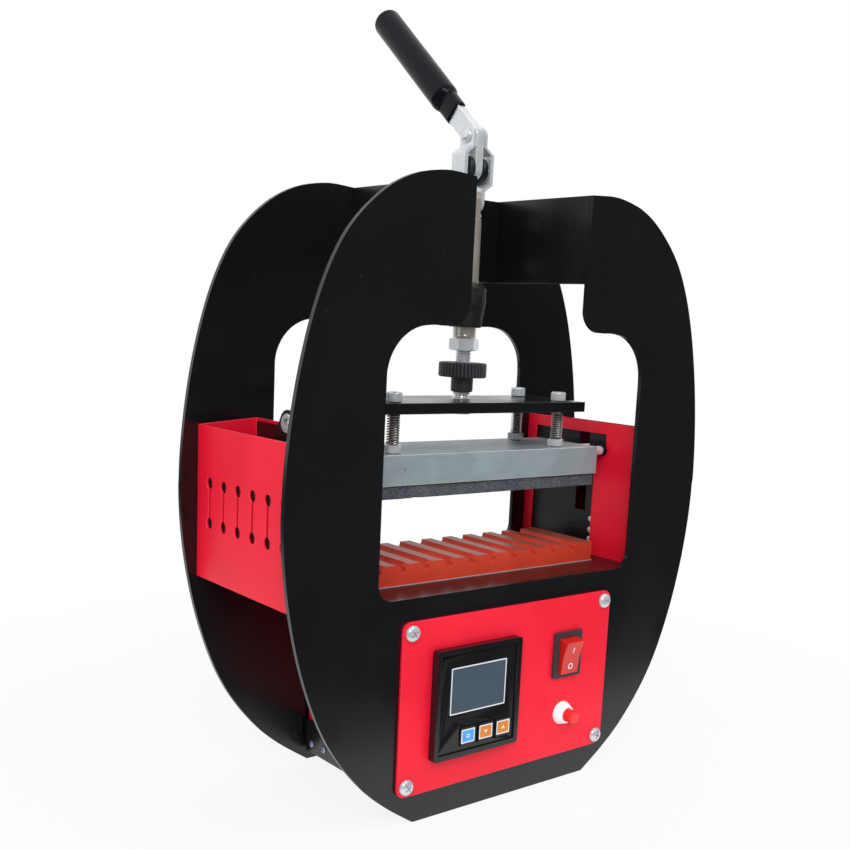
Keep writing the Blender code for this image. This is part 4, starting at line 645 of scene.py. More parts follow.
EAR_TOP, EAR_RADIUS, EAR_HOLE = corners("lead_bracket")[1].z, 8.0, 4.0
EAR_X = corners("lead_bracket")[0].x
eyelet = lathe([(EAR_HOLE - 0.9, -0.7), (EAR_HOLE + 1.4, -0.7), (EAR_HOLE + 1.9, -0.1), (EAR_HOLE + 1.9, 2.1),
                (EAR_HOLE + 1.4, 2.7), (EAR_HOLE - 0.4, 2.7), (EAR_HOLE - 0.9, 2.2), (EAR_HOLE - 0.9, -0.7)],
               40, "right", (EAR_X, 0, EAR_TOP - EAR_RADIUS))
put("ear_eyelet", eyelet, "frame", "zinc_plate")


def small_screw(radius, height, facing, place, slot_turn=0.4):
    """A little round-headed screw with a cross in it."""
    head = lathe([(0, -1), (radius * 0.6, -1), (radius * 0.6, 0), (radius, 0), (radius * 0.97, height * 0.45),
                  (radius * 0.75, height * 0.85), (radius * 0.35, height), (0, height)], 28)
    arm, half = radius * 0.6, radius * 0.14
    cross = [(half, half), (half, arm), (-half, arm), (-half, half), (-arm, half), (-arm, -half),
             (-half, -half), (-half, -arm), (half, -arm), (half, -half), (arm, -half), (arm, half)]
    tool = prism(cross, height * 2, place=(0, 0, height * 0.45))
    tool.transform(Matrix.Rotation(slot_turn, 4, "Z"))
    return aim(carve(head, tool), facing, place)


TRAY_SIDE = corners("base_tray")[0].x
TRAY_SCREWS = ((34.0, 15.3), (49.0, 14.6), (-34.0, 15.3), (-49.0, 14.6))
for index, (back, height) in enumerate(TRAY_SCREWS):
    for side, facing in ((1, "left"), (-1, "right")):
        screw = small_screw(2.4, 1.2, facing, (side * TRAY_SIDE, back, height), index)
        put(f"tray_screw_{facing}_{index}", screw, "frame", "zinc_plate", BLUED_STEEL)
GUARD_FACE = corners("heat_guard_right")[0].x
GUARD_SCREW_Y, GUARD_SCREW_HEIGHTS = -11.7, (167.0, 159.0, 152.0)
for index, height in enumerate(GUARD_SCREW_HEIGHTS):
    screw = small_screw(2.2, 1.1, "left", (GUARD_FACE, GUARD_SCREW_Y, height), index * 0.7)
    put(f"guard_screw_{index}", screw, "frame", "zinc_plate")


# Bed, silicone pad, heater block and foam

pad_low, pad_high = corners("silicone_pad")
pad = from_node("silicone_pad")
face_mark(pad, "land", [])
lands = [face for face in pad.faces
         if face.normal.z > 0.99 and face.calc_center_median().z > pad_high.z - 0.2]
face_mark(pad, "land", lands)
stand_in("silicone_pad", soften(pad, 0.45, 3))
liner = prism([(pad_low.x - 0.6, pad_low.y - 0.7), (pad_high.x + 0.6, pad_low.y - 0.4),
               (pad_high.x + 0.4, pad_high.y + 0.8), (pad_low.x - 0.4, pad_high.y + 0.8)],
              0.35, place=(0, SHIFT, pad_low.z - 0.25))
put("pad_liner", liner, "frame", "red_silicone", LINER)

dress("heater_block", 0.45, 3)
block_low, block_high = corners("heater_block")
TERMINAL_Y, TERMINAL_DROP = -21.5, 4.2
terminal = (block_high.x, TERMINAL_Y, block_high.z - TERMINAL_DROP)
ferrule = lathe([(0, -1), (3.1, -1), (3.1, 7.5), (2.7, 8.0), (2.7, 9.4), (3.3, 9.8), (3.3, 12.2), (2.8, 12.6),
                 (0, 12.6)], 36, "right", terminal)
put("block_terminal", ferrule, "hot_block", "zinc_plate")
sleeve = lathe([(0, 11.8), (3.7, 11.8), (4.0, 12.2), (4.0, 15.0), (3.6, 15.4),
                (0, 15.4)], 36, "right", terminal)
put("block_terminal_sleeve", sleeve, "hot_block", "black_vinyl")
dress("top_plate", 0.4, 2)

FOAM_CELL, FACE_RAGGED, EDGE_RAGGED, NICK_DEPTH = 1.6, 0.16, 0.14, 3
foam_low, foam_high = corners("head_foam")
foam_size = foam_high - foam_low
pad_face = bmesh.new()
bmesh.ops.create_cube(pad_face, size=1, matrix=Matrix.Diagonal((*foam_size, 1)))
for axis in range(3):
    cuts = round(foam_size[axis] / FOAM_CELL)
    across = [edge for edge in pad_face.edges
              if abs((edge.verts[0].co - edge.verts[1].co)[axis]) > foam_size[axis] / 2]
    bmesh.ops.subdivide_edges(pad_face, edges=across, cuts=cuts, use_grid_fill=True)
centre = (foam_low + foam_high) / 2 + Vector((0, SHIFT, 0))
for vert in pad_face.verts:
    on_faces = sum(abs(abs(vert.co[axis]) - foam_size[axis] / 2) < 0.01 for axis in range(3))
    ragged = FACE_RAGGED + EDGE_RAGGED * (on_faces > 1)
    inward = -Vector([vert.co[axis] * (abs(abs(vert.co[axis]) - foam_size[axis] / 2) < 0.01)
                      for axis in range(3)]).normalized()
    nick = max(0.0, noise.noise(vert.co * 0.09 + Vector((3, 7, 1))) - 0.35) * NICK_DEPTH * (on_faces > 1)
    vert.co += inward * ((noise.noise(vert.co * 0.8) + 1) * ragged + nick)
aim(smooth(pad_face), "up", centre)
bmesh.ops.recalc_face_normals(pad_face, faces=pad_face.faces)
stand_in("head_foam", pad_face, angle=60)


# Clamp

CAST_CELL, CAST_WAVES, CAST_GRAIN = 0.75, 0.16, 0.07


def cast(node):
    """A casting: its corners run together and its skin left rough from the sand."""
    bm = worked(from_node(node), "REMESH", mode="VOXEL", voxel_size=CAST_CELL)
    for _ in range(3):
        bmesh.ops.smooth_vert(bm, verts=bm.verts, factor=0.5, use_axis_x=True, use_axis_y=True,
                              use_axis_z=True)
    bm.normal_update()
    for vert in bm.verts:
        rough = noise.noise(vert.co * 0.3) * CAST_WAVES + noise.noise(vert.co * 0.9) * CAST_GRAIN
        vert.co += vert.normal * rough
    return smooth(bm)


stand_in("clamp_body", cast("clamp_body"), angle=80)
for strap in ("link_strap_left", "link_strap_right"):
    bowed = from_node(strap)
    bends = [edge for edge in bowed.edges if len(edge.link_faces) == 2
             and radians(20) < edge.calc_face_angle(0) < radians(62)
             and abs((edge.verts[0].co - edge.verts[1].co).normalized().y) > 0.95]
    bmesh.ops.bevel(bowed, geom=bends, offset=1.7, offset_type="OFFSET", segments=5, profile=0.5,
                    affect="EDGES", clamp_overlap=True, material=-1)
    stand_in(strap, soften(bowed, 0.5, 3, 35))
dress("fork_pin", 0.5, 3)
pin_low, pin_high = corners("lever_pin")
SEAT, PIN_RADIUS, DOME_RADIUS, DOME_RISE = 5.85, 2.4, 4.4, 2.3
dome = [(DOME_RADIUS * cos(turn), SEAT + 0.5 + DOME_RISE * sin(turn)) for turn in
        [pi / 2 * step / 7 for step in range(8)]]
half = [(PIN_RADIUS, SEAT), (DOME_RADIUS - 0.3, SEAT), *dome[:-1], (0, dome[-1][1])]
profile = [(radius, -along) for radius, along in reversed(half)] + half
pin_place = (0, (pin_low.y + pin_high.y) / 2 + SHIFT, (pin_low.z + pin_high.z) / 2)
stand_in("lever_pin", lathe(profile, 40, "right", pin_place), angle=50)
dress("lever_bar", 0.6, 3)
for node in BODY_OF:
    if node.startswith("clamp_bolt"):
        dress(node, 0.4)

LEAN = radians(49.6)
PIN_HIGH_Z = (pin_low.z + pin_high.z) / 2
GRIP_FROM, GRIP_LENGTH = 23.8, 108.7
COLLAR_LENGTH, COLLAR_WIDE, COLLAR_THICK, GRIP_RADIUS = 12.0, 8.1, 4.8, 9.5
SWELL_LENGTH, DOME = 7.0, 3.4


def grip():
    """The dipped grip: a flat collar that swells into a round handle with a domed end."""
    profile = [(0, 0), (0.80, 0), (0.93, 0.4), (0.985, 1.0), (1, 1.8)]
    profile += [(1, height) for height in (5, 8.5, COLLAR_LENGTH)]
    profile += [(1, COLLAR_LENGTH + SWELL_LENGTH * step / 8) for step in range(1, 9)]
    profile += [(1, COLLAR_LENGTH + SWELL_LENGTH + 20 * step) for step in range(1, 4)]
    start = GRIP_LENGTH - DOME
    profile += [(0.62 + 0.38 * cos(turn), start + DOME * sin(turn))
                for turn in [pi / 2 * step / 8 for step in range(9)]]
    profile += [(0.3, GRIP_LENGTH + 0.05), (0, GRIP_LENGTH + 0.1)]
    bm = lathe(profile, 56)
    for vert in bm.verts:
        share = min(1, max(0, (vert.co.z - COLLAR_LENGTH) / SWELL_LENGTH))
        share = share * share * (3 - 2 * share)
        size = hypot(vert.co.x, vert.co.y)
        if not size:
            continue
        across, along = vert.co.x / size, vert.co.y / size
        power = 3 - share
        wide = COLLAR_WIDE + (GRIP_RADIUS - COLLAR_WIDE) * share
        thick = COLLAR_THICK + (GRIP_RADIUS - COLLAR_THICK) * share
        reach = (abs(across / thick) ** power + abs(along / wide) ** power) ** (-1 / power)
        vert.co.x, vert.co.y = across * reach * size, along * reach * size
    place = Matrix.Translation((0, sin(LEAN) * GRIP_FROM, PIN_HIGH_Z + cos(LEAN) * GRIP_FROM))
    bm.transform(place @ Matrix.Rotation(-LEAN, 4, "X"))
    return bm


stand_in("lever_grip", grip(), angle=50)

rod_low, rod_high = corners("plunger")
ROD_TOP, ROD_RADIUS, ROD_BORE = 370.0, rod_high.x, 5.4
tang = from_node("plunger")
cut_off(tang, ROD_TOP - 1, False)
fill_open(tang)
bore_end = rod_low.z + 34
rod = lathe([(ROD_BORE, rod_low.z + 0.5), (ROD_BORE + 0.5, rod_low.z), (ROD_RADIUS - 0.6, rod_low.z),
             (ROD_RADIUS, rod_low.z + 0.6), (ROD_RADIUS, rod_low.z + 1.6),
             (ROD_RADIUS - 0.25, rod_low.z + 1.8),
             (ROD_RADIUS - 0.25, rod_low.z + 2.5), (ROD_RADIUS, rod_low.z + 2.7), (ROD_RADIUS, ROD_TOP - 0.7),
             (ROD_RADIUS - 0.7, ROD_TOP), (0, ROD_TOP), (0, bore_end), (ROD_BORE, bore_end - 3),
             (ROD_BORE, rod_low.z + 0.5)], 64)
stand_in("plunger", joined(soften(tang, 0.4, 2), rod))


# Threads, nuts and screws

def screw_thread(radius, root, pitch, low, high, steps=36):
    """A threaded rod: its tooth outline carried round and up by one pitch a turn."""
    bm = bmesh.new()
    points = []
    for turn in range(ceil((high - low) / pitch) + 4):
        base = low + (turn - 2) * pitch
        points += [(root, base), (root, base + 0.15 * pitch), (radius, base + 0.5 * pitch),
                   (radius, base + 0.65 * pitch)]
    verts = [bm.verts.new((out, 0, height)) for out, height in points]
    edges = [bm.edges.new(pair) for pair in zip(verts, verts[1:])]
    bmesh.ops.spin(bm, geom=verts + edges, axis=Z, dvec=(0, 0, pitch / steps), angle=2 * pi, steps=steps)
    bmesh.ops.remove_doubles(bm, verts=bm.verts, dist=pitch / 300)
    for height, above in ((low, False), (high, True)):
        cut_off(bm, height, above)
        rim = [edge for edge in bm.edges if edge.is_boundary
               and all(abs(vert.co.z - height) < 0.001 for vert in edge.verts)]
        bmesh.ops.holes_fill(bm, edges=rim)
    bmesh.ops.recalc_face_normals(bm, faces=bm.faces)
    return smooth(bm)


def hex_nut(flats, height, bore):
    """A nut with both faces chamfered round and a countersunk bore."""
    corner = flats / sqrt(3) + 0.02
    cut = (corner - flats / 2 * 0.96) * 0.58
    body = lathe([(bore, 0.5), (bore + 0.5, 0), (flats / 2 * 0.96, 0), (corner, cut), (corner, height - cut),
                  (flats / 2 * 0.96, height), (bore + 0.5, height), (bore, height - 0.5), (bore, 0.5)], 60)
    return carve(body, prism(hexagon(flats), height + 2, place=(0, 0, -1)), "INTERSECT")


def knurled(bm, count, depth, inner, outer, sharpness):
    """Presses straight grooves into a turned rim."""
    for vert in bm.verts:
        radius = hypot(vert.co.x, vert.co.y)
        share = min(1, max(0, (radius - inner) / (outer - inner)))
        groove = max(0, cos(count * atan2(vert.co.y, vert.co.x))) ** sharpness
        if radius:
            shrink = (radius - depth * share * groove) / radius
            vert.co.x, vert.co.y = vert.co.x * shrink, vert.co.y * shrink
    return bm


foot_low, thread_high = (corner.z for corner in corners("spindle"))
knob_low, knob_high = (corner.z for corner in corners("pressure_knob"))
plate_top = corners("top_plate")[1].z
foot = lathe([(0, plate_top + 0.3), (6.3, plate_top + 0.3), (6.2, plate_top + 0.8), (5.3, plate_top + 1.5),
              (5.0, plate_top + 2.2), (4.9, plate_top + 2.5), (4.0, plate_top + 2.6), (4.0, plate_top + 3.0),
              (5.4, plate_top + 3.1), (5.4, knob_low - 0.25), (4.6, knob_low - 0.2), (4.6, knob_low + 12),
              (0, knob_low + 12)], 48)
below = lathe([(0, foot_low), (6.2, foot_low), (6.5, foot_low + 0.3), (6.5, foot_low + 2.2),
               (6.2, foot_low + 2.5), (4.0, foot_low + 2.5), (4.0, plate_top + 0.5),
               (0, plate_top + 0.5)], 48)
THREAD_RADIUS, THREAD_ROOT, THREAD_PITCH = 5.0, 4.2, 1.5
screw = screw_thread(THREAD_RADIUS, THREAD_ROOT, THREAD_PITCH, knob_low + 11, thread_high)
stand_in("spindle", joined(screw, foot, below), angle=25)

KNOB_RADIUS, HUB, HUB_HEIGHT, KNOB_TEETH = 15.8, 7.3, 9.8, 40
rim = knob_low + HUB_HEIGHT
knob = lathe([(4.7, knob_low + 0.4), (5.2, knob_low), (HUB - 1.6, knob_low), (HUB - 0.5, knob_low + 0.4),
              (HUB, knob_low + 1.5), (HUB, rim - 0.7), (HUB + 0.5, rim), (13.4, rim),
              (14.9, rim), (15.5, rim + 0.3), (KNOB_RADIUS, rim + 0.9), (KNOB_RADIUS, knob_high - 0.9),
              (15.5, knob_high - 0.3), (14.9, knob_high), (13.2, knob_high), (12.6, knob_high - 0.5),
              (8.0, knob_high - 0.5), (7.6, knob_high), (5.6, knob_high), (5.1, knob_high - 0.5),
              (5.1, rim + 2), (4.7, rim + 1.5), (4.7, knob_low + 0.4)], 8 * KNOB_TEETH)
GROOVE_DEPTH, GROOVE_FROM, GROOVE_TO, GROOVE_POWER = 1.25, 13.5, 15.6, 2.5
grooved = knurled(knob, KNOB_TEETH, GROOVE_DEPTH, GROOVE_FROM, GROOVE_TO, GROOVE_POWER)
stand_in("pressure_knob", grooved, angle=35)

nut_low, nut_high = corners("jam_nut")
JAM_FLATS, JAM_BORE = 17.0, 5.05
stand_in("jam_nut", aim(hex_nut(JAM_FLATS, nut_high.z - nut_low.z, JAM_BORE), place=(0, 0, nut_low.z)))

BOLT_KNURLS, KNURL_DEPTH, BOLT_HEAD, BOLT_RADIUS, KEY_FLATS, KEY_DEPTH = 60, 0.22, 6.0, 5.0, 5.0, 3.2
SHANK_RADIUS, SHANK_ROOT, SHANK_PITCH, SHANK_THREAD = 2.9, 2.45, 1.0, 19.6
SPRING_COILS, WIRE, SPRING_RADIUS, COIL_STEPS, WIRE_SIDES = 12, 0.52, 3.6, 26, 10


def socket_bolt(low, high):
    """A cap screw's head: knurled, with its hexagon key hole."""
    seat = high - BOLT_HEAD
    head = lathe([(0, seat - 0.05), (3.0, seat - 0.05), (3.1, seat), (4.6, seat), (BOLT_RADIUS, seat + 0.35),
                  (BOLT_RADIUS, high - 1.1), (4.75, high - 0.6), (4.3, high), (0, high)], 2 * BOLT_KNURLS)
    for vert in head.verts:
        radius = hypot(vert.co.x, vert.co.y)
        odd = round(atan2(vert.co.y, vert.co.x) / (pi / BOLT_KNURLS)) % 2
        if radius > BOLT_RADIUS - 0.01 and odd:
            vert.co.x *= 1 - KNURL_DEPTH / radius
            vert.co.y *= 1 - KNURL_DEPTH / radius
    return carve(head, prism(hexagon(KEY_FLATS), 4, place=(0, 0, high - KEY_DEPTH)))


def shank(low, high):
    """The steel rod of a cap screw, threaded at its lower end."""
    thread = screw_thread(SHANK_RADIUS, SHANK_ROOT, SHANK_PITCH, low, low + SHANK_THREAD, 20)
    neck = high - BOLT_HEAD
    plain = lathe([(0, low + 19), (SHANK_ROOT, low + 19), (SHANK_ROOT, neck - 2), (SHANK_RADIUS, neck - 1.4),
                   (SHANK_RADIUS, neck + 0.5), (0, neck + 0.5)], 28)
    return joined(thread, plain)


def coil_height(turn, length):
    """How high the wire's middle stands: closed end coils and an even pitch between."""
    shut = WIRE * 2.04
    open_pitch = (length - 2 * WIRE - 2 * shut) / (SPRING_COILS - 2)
    if turn < 1:
        return turn * shut
    if turn > SPRING_COILS - 1:
        return length - 2 * WIRE - (SPRING_COILS - turn) * shut
    return shut + (turn - 1) * open_pitch


def spring(length):
    """A wound spring with closed, ground ends, standing on its lower end."""
    bm = bmesh.new()
    made = bmesh.ops.create_circle(bm, segments=WIRE_SIDES, radius=WIRE,
                                   matrix=Matrix.Translation((SPRING_RADIUS, 0, 0)) @ FACINGS["back"])
    bmesh.ops.spin(bm, geom=bm.verts[:] + bm.edges[:], axis=Z, angle=2 * pi * SPRING_COILS,
                   steps=SPRING_COILS * COIL_STEPS)
    bm.verts.index_update()
    for vert in bm.verts:
        vert.co.z += WIRE + coil_height(vert.index // WIRE_SIDES / COIL_STEPS, length)
    for height, above in ((WIRE * 0.5, False), (length - WIRE * 0.5, True)):
        cut_off(bm, height, above)
    fill_open(bm)
    stretch = length / (length - WIRE)
    bm.transform(Matrix.Diagonal((1, 1, stretch, 1)) @ Matrix.Translation((0, 0, -WIRE * 0.5)))
    bmesh.ops.recalc_face_normals(bm, faces=bm.faces)
    return smooth(bm)


# A spring is 18.5 mm long at rest and 12.5 mm with the block pushed up.
for corner in ("left_front", "left_rear", "right_front", "right_rear"):
    low, high = corners("head_bolt_" + corner)
    middle = (low + high) / 2
    place = (middle.x, middle.y + SHIFT, 0)
    turn = Matrix.Rotation(middle.x + middle.y, 4, "Z")
    bolt = socket_bolt(low.z, high.z)
    bolt.transform(turn)
    stand_in("head_bolt_" + corner, aim(bolt, place=place))
    rod = aim(shank(low.z, high.z), place=place)
    # The shank is drawn near-black as painted shade between the spring coils.
    put(f"head_bolt_{corner}_shank", rod, "hot_block", "zinc_plate", PAINTED_SHADE_STEEL)
    low, high = corners("head_nut_" + corner)
    nut = hex_nut(high.y - low.y, high.z - low.z, 3.0)
    stand_in("head_nut_" + corner, aim(nut, place=(*place[:2], low.z)))
    low, high = corners("head_spring_" + corner)
    wound = spring(high.z - low.z)
    wound.transform(turn)
    piece = put(f"head_spring_{corner}_shape", aim(wound, place=(*place[:2], low.z)), "head", "spring_steel")
    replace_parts(piece, "head_spring_" + corner)
    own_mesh(piece)


# Heater cartridge and its boot

low, high = corners("cartridge_heater")
heater_y, heater_z = (low.y + high.y) / 2 + SHIFT, (low.z + high.z) / 2
radius = (high.z - low.z) / 2
tube = lathe([(0, low.x), (radius - 0.6, low.x), (radius, low.x + 0.6), (radius, high.x - 9),
              (radius - 0.3, high.x - 8.6),
              (radius - 0.3, high.x - 7.8), (radius, high.x - 7.4), (radius, high.x - 0.5),
              (radius - 0.5, high.x), (0, high.x)], 40, "right", (0, heater_y, heater_z))
stand_in("cartridge_heater", tube)
low, high = corners("heater_boot")
wide = (high.z - low.z) / 2
boot = lathe([(radius + 0.1, low.x + 0.6), (wide - 0.6, low.x), (wide, low.x + 0.7), (wide, low.x + 4.6),
              (wide - 0.5, low.x + 5.2), (wide - 0.6, low.x + 6.4), (wide * 0.86, low.x + 8),
              (wide * 0.72, high.x - 0.5),
              (wide * 0.62, high.x), (1.6, high.x), (1.6, high.x - 2), (radius + 0.1, low.x + 4.2),
              (radius + 0.1, low.x + 0.6)], 40, "right", (0, heater_y, heater_z))
stand_in("heater_boot", boot)


# Control base

PANEL_FRONT = corners("control_panel")[0].y + SHIFT
for node in BODY_OF:
    if node.startswith("panel_screw"):
        low, high = corners(node)
        middle = (low + high) / 2
        radius = (high.x - low.x) / 2
        seat = PANEL_FRONT - 0.3
        head = lathe([(0, -8), (2.0, -8), (2.0, 0), (radius, 0), (radius, 0.8), (radius * 0.96, 1.5),
                      (radius * 0.84, 2.2), (radius * 0.62, 2.8), (radius * 0.34, 3.2), (0, 3.3)], 48)
        cross = [(0.55, 0.55), (0.5, 2.5), (-0.5, 2.5), (-0.55, 0.55), (-2.5, 0.5), (-2.5, -0.5),
                 (-0.55, -0.55), (-0.5, -2.5), (0.5, -2.5), (0.55, -0.55), (2.5, -0.5), (2.5, 0.5)]
        head = carve(head, prism(cross, 4, place=(0, 0, 1.3)))
        head.transform(Matrix.Rotation(middle.x * 0.07 + middle.z * 0.31, 4, "Z"))
        stand_in(node, aim(head, "front", (middle.x, seat, middle.z)))

METER_EDGE, METER_SLIM = 30.0, ((0, 0.955), (2, 0.978))
case = from_node("meter_case")
middle = centre_of("meter_case")[0]
for vert in case.verts:
    in_front = vert.co.y < PANEL_FRONT
    for axis, slim in METER_SLIM:
        away = vert.co[axis] - middle[axis]
        if in_front and abs(away) > METER_EDGE:
            vert.co[axis] = middle[axis] + away * slim
stand_in("meter_case", soften(case, 0.35, 3))
dress("meter_screen", 0.2)
for node in ("key_set", "key_down", "key_up"):
    dress(node, 0.3, 3, finish=FINISHES["black_plastic"])
dress("rocker_housing", 0.3, 3, finish=FINISHES["charcoal_plastic"])
dress("mains_inlet", 0.3, 3)

ROCKER_TILT, ROCKER_REACH = radians(12), 1.09
ROCKER_SIDE, ROCKER_SHELF, ROCKER_BACK = 10.0, 4.6, 1.5
paddle = from_node("rocker_paddle")
low, high = corners("rocker_housing")
pivot = Vector(((low.x + high.x) / 2, PANEL_FRONT, (low.z + high.z) / 2))
lean = Matrix.Translation(pivot) @ Matrix.Rotation(ROCKER_TILT, 4, "X")
paddle.transform(Matrix.Diagonal((1, 1, ROCKER_REACH, 1)) @ lean.inverted())
for vert in paddle.verts:
    if abs(vert.co.z) > ROCKER_SIDE and -ROCKER_SHELF < vert.co.y < 0:
        vert.co.y = ROCKER_BACK
paddle.transform(lean)
stand_in("rocker_paddle", soften(paddle, 0.7, 4))
dress("heater_relay", 0.6, 3)


def printed(name, node, outline, thickness=0.12, holes=(), body=None, ink=WHITE_INK):
    """Ink laid on the front of a piece, following its slope."""
    bm = prism(outline, thickness, "front", (0, 0, 0), holes)
    shape = bpy.data.objects[node + "_shape"]
    tree = BVHTree.FromPolygons([shape.matrix_world @ vert.co for vert in shape.data.vertices],
                                [list(face.vertices) for face in shape.data.polygons])
    for vert in bm.verts:
        start = Vector((vert.co.x * MM, -1, vert.co.z * MM))
        hit = tree.ray_cast(start, Vector((0, 1, 0)))[0]
        vert.co.y += hit.y / MM + SHIFT + thickness * 0.4
    return put(name, bm, body or BODY_OF[node], SLOTS[node], ink)


KEY_WIDE, KEY_HIGH, KEY_RIM = 10.9, 9.0, 1.6
middle, size = centre_of("meter_screen")
printed("screen_border", "meter_screen", rounded(size.x - 0.5, size.z - 0.5, 0.8, (middle.x, middle.z)), 0.14,
        [rounded(size.x - 2.0, size.z - 2.0, 0.5, (middle.x, middle.z))])
for node, glyph in (("key_set", [(-1.9, -1.6), (1.9, -1.6), (1.9, 1.6), (-1.9, 1.6)]),
                    ("key_down", [(0, -2.0), (2.2, 1.5), (-2.2, 1.5)]),
                    ("key_up", [(-2.2, -1.5), (2.2, -1.5), (0, 2.0)])):
    middle, size = centre_of(node)
    around = rounded(KEY_WIDE, KEY_HIGH, 0.5, (middle.x, middle.z))
    window = rounded(KEY_WIDE - KEY_RIM, KEY_HIGH - KEY_RIM, 0.3, (middle.x, middle.z))
    printed(node + "_border", node, around, 0.08, [window])
    printed(node + "_window", node, window, 0.08, ink=FINISHES[SLOTS[node]])
    shape = [(middle.x + x * 0.7, middle.z + z * 0.7) for x, z in glyph]
    inner = [[(middle.x + x * 0.45, middle.z + z * 0.35) for x, z in glyph]] if node == "key_set" else ()
    printed(node + "_glyph", node, shape, 0.16, inner)

middle = centre_of("rocker_paddle")[0]
ON_WIDE, ON_HIGH, ON_RISE = 0.8, 4.0, 5.0
OFF_OUTER, OFF_INNER, OFF_DROP = 2.2, 1.4, 6.4
printed("rocker_on_mark", "rocker_paddle", rounded(ON_WIDE, ON_HIGH, 0.2, (middle.x, middle.z + ON_RISE)))
low_spot = (middle.x, middle.z - OFF_DROP)
printed("rocker_off_mark", "rocker_paddle", ring_points(OFF_OUTER, 32, low_spot),
        holes=[ring_points(OFF_INNER, 32, low_spot)])

middle = centre_of("button_bushing")[0]
low, high = (corner.y + SHIFT for corner in corners("button_bushing"))
mouth, skirt = 4.75, -PANEL_FRONT
cone = lathe([(0, -high), (6.0, -high), (6.0, skirt + 0.2), (7.9, skirt + 0.3), (8.0, skirt + 0.8),
              (7.5, skirt + 2.2), (6.7, -low - 2.2), (6.1, -low - 0.9), (5.6, -low - 0.2), (5.2, -low),
              (mouth, -low - 0.2), (mouth, -high + 6), (0, -high + 6)], 64, "front", (middle.x, 0, middle.z))
stand_in("button_bushing", cone)
middle, size = centre_of("button_cap")
low, high = (corner.y + SHIFT for corner in corners("button_cap"))
radius = size.x / 2
cap = lathe([(0, -high), (radius, -high), (radius, -low - 1.2), (radius - 0.35, -low - 0.4),
             (radius - 1.1, -low),
             (radius - 1.9, -low - 0.05), (0, -low)], 48, "front", (middle.x, 0, middle.z))
stand_in("button_cap", cap)

middle = centre_of("mains_inlet")[0]
low, high = (corner.y + SHIFT for corner in corners("mains_inlet"))
PIN_SPOTS, PIN_WIDE, PIN_HIGH, PIN_LENGTH, PIN_FROM = ((-7, -2), (0, 2), (7, -2)), 2.3, 4.3, 12, 15.2
for index, (x, rise) in enumerate(PIN_SPOTS):
    outline = rounded(PIN_WIDE, PIN_HIGH, 0.3, (middle.x + x, middle.z + rise), 2)
    pin = soften(prism(outline, -PIN_LENGTH, "front", (0, high - PIN_FROM, 0)), 0.3)
    put(f"inlet_pin_{index}", pin, "frame", "bright_steel")


# Camera, light and floor

# The camera was fitted to the photograph: lengths in its pixels, turns in degrees, places in metres.
PHOTO_PX, FOCAL_PX, SHIFT_PX = 850, 1119.203, (-39.854, 90.894)
CAMERA_TURN, CAMERA_PLACE = (-40.531, 9.747, 2.972), (-0.477267, -0.568259, 0.303810)
SENSOR = 36.0
PRESS_MIDDLE = Vector((0, 0, 0.2))
TABLE_LEFT, TABLE_RIGHT, TABLE_FRONT, TABLE_EDGE = -0.45, 0.60, -0.20, 0.03
SHADOW_REACH, SHADOW_LEFT = (0.25, 0.62), 0.88
DARK_ROOM, AMBIENT, ROOF = 0.06, 0.58, 0.22


def camera():
    data = bpy.data.cameras.new("photo_camera")
    data.sensor_width = SENSOR
    data.lens = FOCAL_PX * SENSOR / PHOTO_PX
    data.shift_x, data.shift_y = (shift / PHOTO_PX for shift in SHIFT_PX)
    data.clip_end = 20
    made = bpy.data.objects.new("photo_camera", data)
    scene.collection.objects.link(made)
    azimuth, pitch, roll = (radians(angle) for angle in CAMERA_TURN)
    ahead = Vector((-sin(azimuth) * cos(pitch), cos(azimuth) * cos(pitch), -sin(pitch)))
    level = ahead.cross(Z).normalized()
    upright = level.cross(ahead)
    right = level * cos(roll) + upright * sin(roll)
    up = upright * cos(roll) - level * sin(roll)
    turn = Matrix((right, up, -ahead)).transposed().to_4x4()
    made.matrix_world = Matrix.Translation((0, -FORWARD, 0)) @ Matrix.Translation(CAMERA_PLACE) @ turn
    scene.camera = made


def lamp(name, place, size, power):
    """A square lamp aimed at the middle of the press."""
    data = bpy.data.lights.new(name, "AREA")
    data.shape = "SQUARE"
    data.size = size
    data.energy = power
    made = bpy.data.objects.new(name, data)
    scene.collection.objects.link(made)
    made.location = place
    made.rotation_euler = (PRESS_MIDDLE - Vector(place)).to_track_quat("-Z", "Y").to_euler()


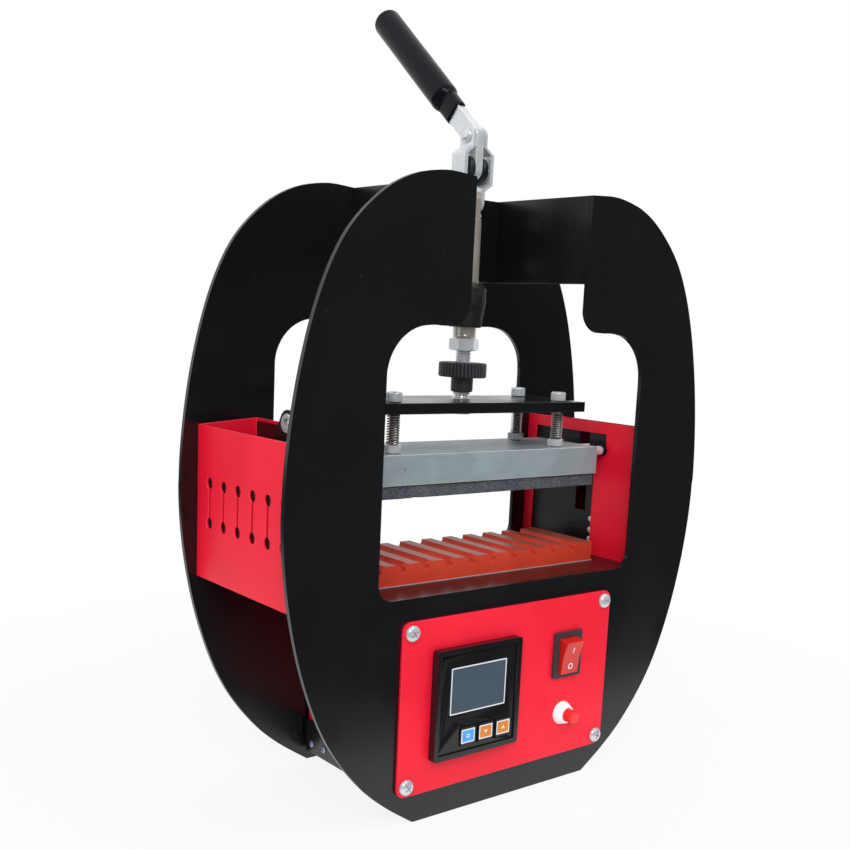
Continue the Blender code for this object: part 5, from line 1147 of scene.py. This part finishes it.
def surround():
    """White as seen and from behind, with a darker room in front that shiny pieces reflect."""
    world = bpy.data.worlds.new("surround")
    scene.world = world
    world.use_nodes = True
    tree = world.node_tree
    path = add(tree, "ShaderNodeLightPath").outputs
    place = add(tree, "ShaderNodeTexCoord").outputs["Generated"]
    way = add(tree, "ShaderNodeSeparateXYZ", {0: place}).outputs
    behind = spread(tree, way["Y"], -0.25, 0.15)
    above = spread(tree, way["Z"], 0.35, 0.75, 0.0, ROOF)
    bright = calc(tree, "MAXIMUM", behind, above)
    mirrored = spread(tree, bright, 0, 1, DARK_ROOM, 1.0, "LINEAR")
    seen = calc(tree, "MAXIMUM", path["Is Camera Ray"], path["Is Transmission Ray"])
    glossy = calc(tree, "MULTIPLY", path["Is Glossy Ray"], calc(tree, "SUBTRACT", mirrored, AMBIENT))
    strength = calc(tree, "MAXIMUM", seen, calc(tree, "ADD", glossy, AMBIENT))
    tree.links.new(strength, tree.nodes["Background"].inputs["Strength"])
    tree.nodes["Background"].inputs["Color"].default_value = (1, 1, 1, 1)


def floor():
    """A white table that keeps the shadow close to the press and fades to white."""
    bpy.ops.mesh.primitive_plane_add(size=8, location=(0, 0, -0.0004))
    made = bpy.context.object
    made.name = "floor"
    white = bpy.data.materials.new("table_white")
    white.use_nodes = True
    tree = white.node_tree
    shader = tree.nodes["Principled BSDF"]
    shader.inputs["Base Color"].default_value = (0.9, 0.9, 0.9, 1)
    shader.inputs["Roughness"].default_value = 0.8
    place = add(tree, "ShaderNodeTexCoord").outputs["Object"]
    way = add(tree, "ShaderNodeSeparateXYZ", {0: place}).outputs
    length = add(tree, "ShaderNodeVectorMath", {0: place}, operation="LENGTH").outputs["Value"]
    path = add(tree, "ShaderNodeLightPath").outputs
    table = spread(tree, way["Y"], TABLE_FRONT - TABLE_EDGE, TABLE_FRONT + TABLE_EDGE)
    for side, inward in ((TABLE_LEFT, TABLE_EDGE), (TABLE_RIGHT, -TABLE_EDGE)):
        table = calc(tree, "MULTIPLY", table, spread(tree, way["X"], side - inward, side + inward))
    mirrored = spread(tree, table, 0, 1, DARK_ROOM, 1.0, "LINEAR")
    glow = calc(tree, "MAXIMUM", mirrored, path["Is Camera Ray"])
    kept = spread(tree, length, *SHADOW_REACH, SHADOW_LEFT, 1.0)
    share = calc(tree, "MAXIMUM", calc(tree, "MULTIPLY", path["Is Camera Ray"], kept), path["Is Glossy Ray"])
    light = add(tree, "ShaderNodeEmission", {"Strength": glow})
    blend = add(tree, "ShaderNodeMixShader", {0: share, 1: shader.outputs[0], 2: light.outputs[0]})
    tree.links.new(blend.outputs[0], tree.nodes["Material Output"].inputs["Surface"])
    white.cycles.emission_sampling = "NONE"
    made.data.materials.append(white)


camera()
surround()
floor()
lamp("key_light", (-1.3, -1.6, 1.7), 1.2, 34)
lamp("fill_light", (0.5, -1.3, 2.2), 1.0, 10)
scene.view_settings.view_transform = "Standard"
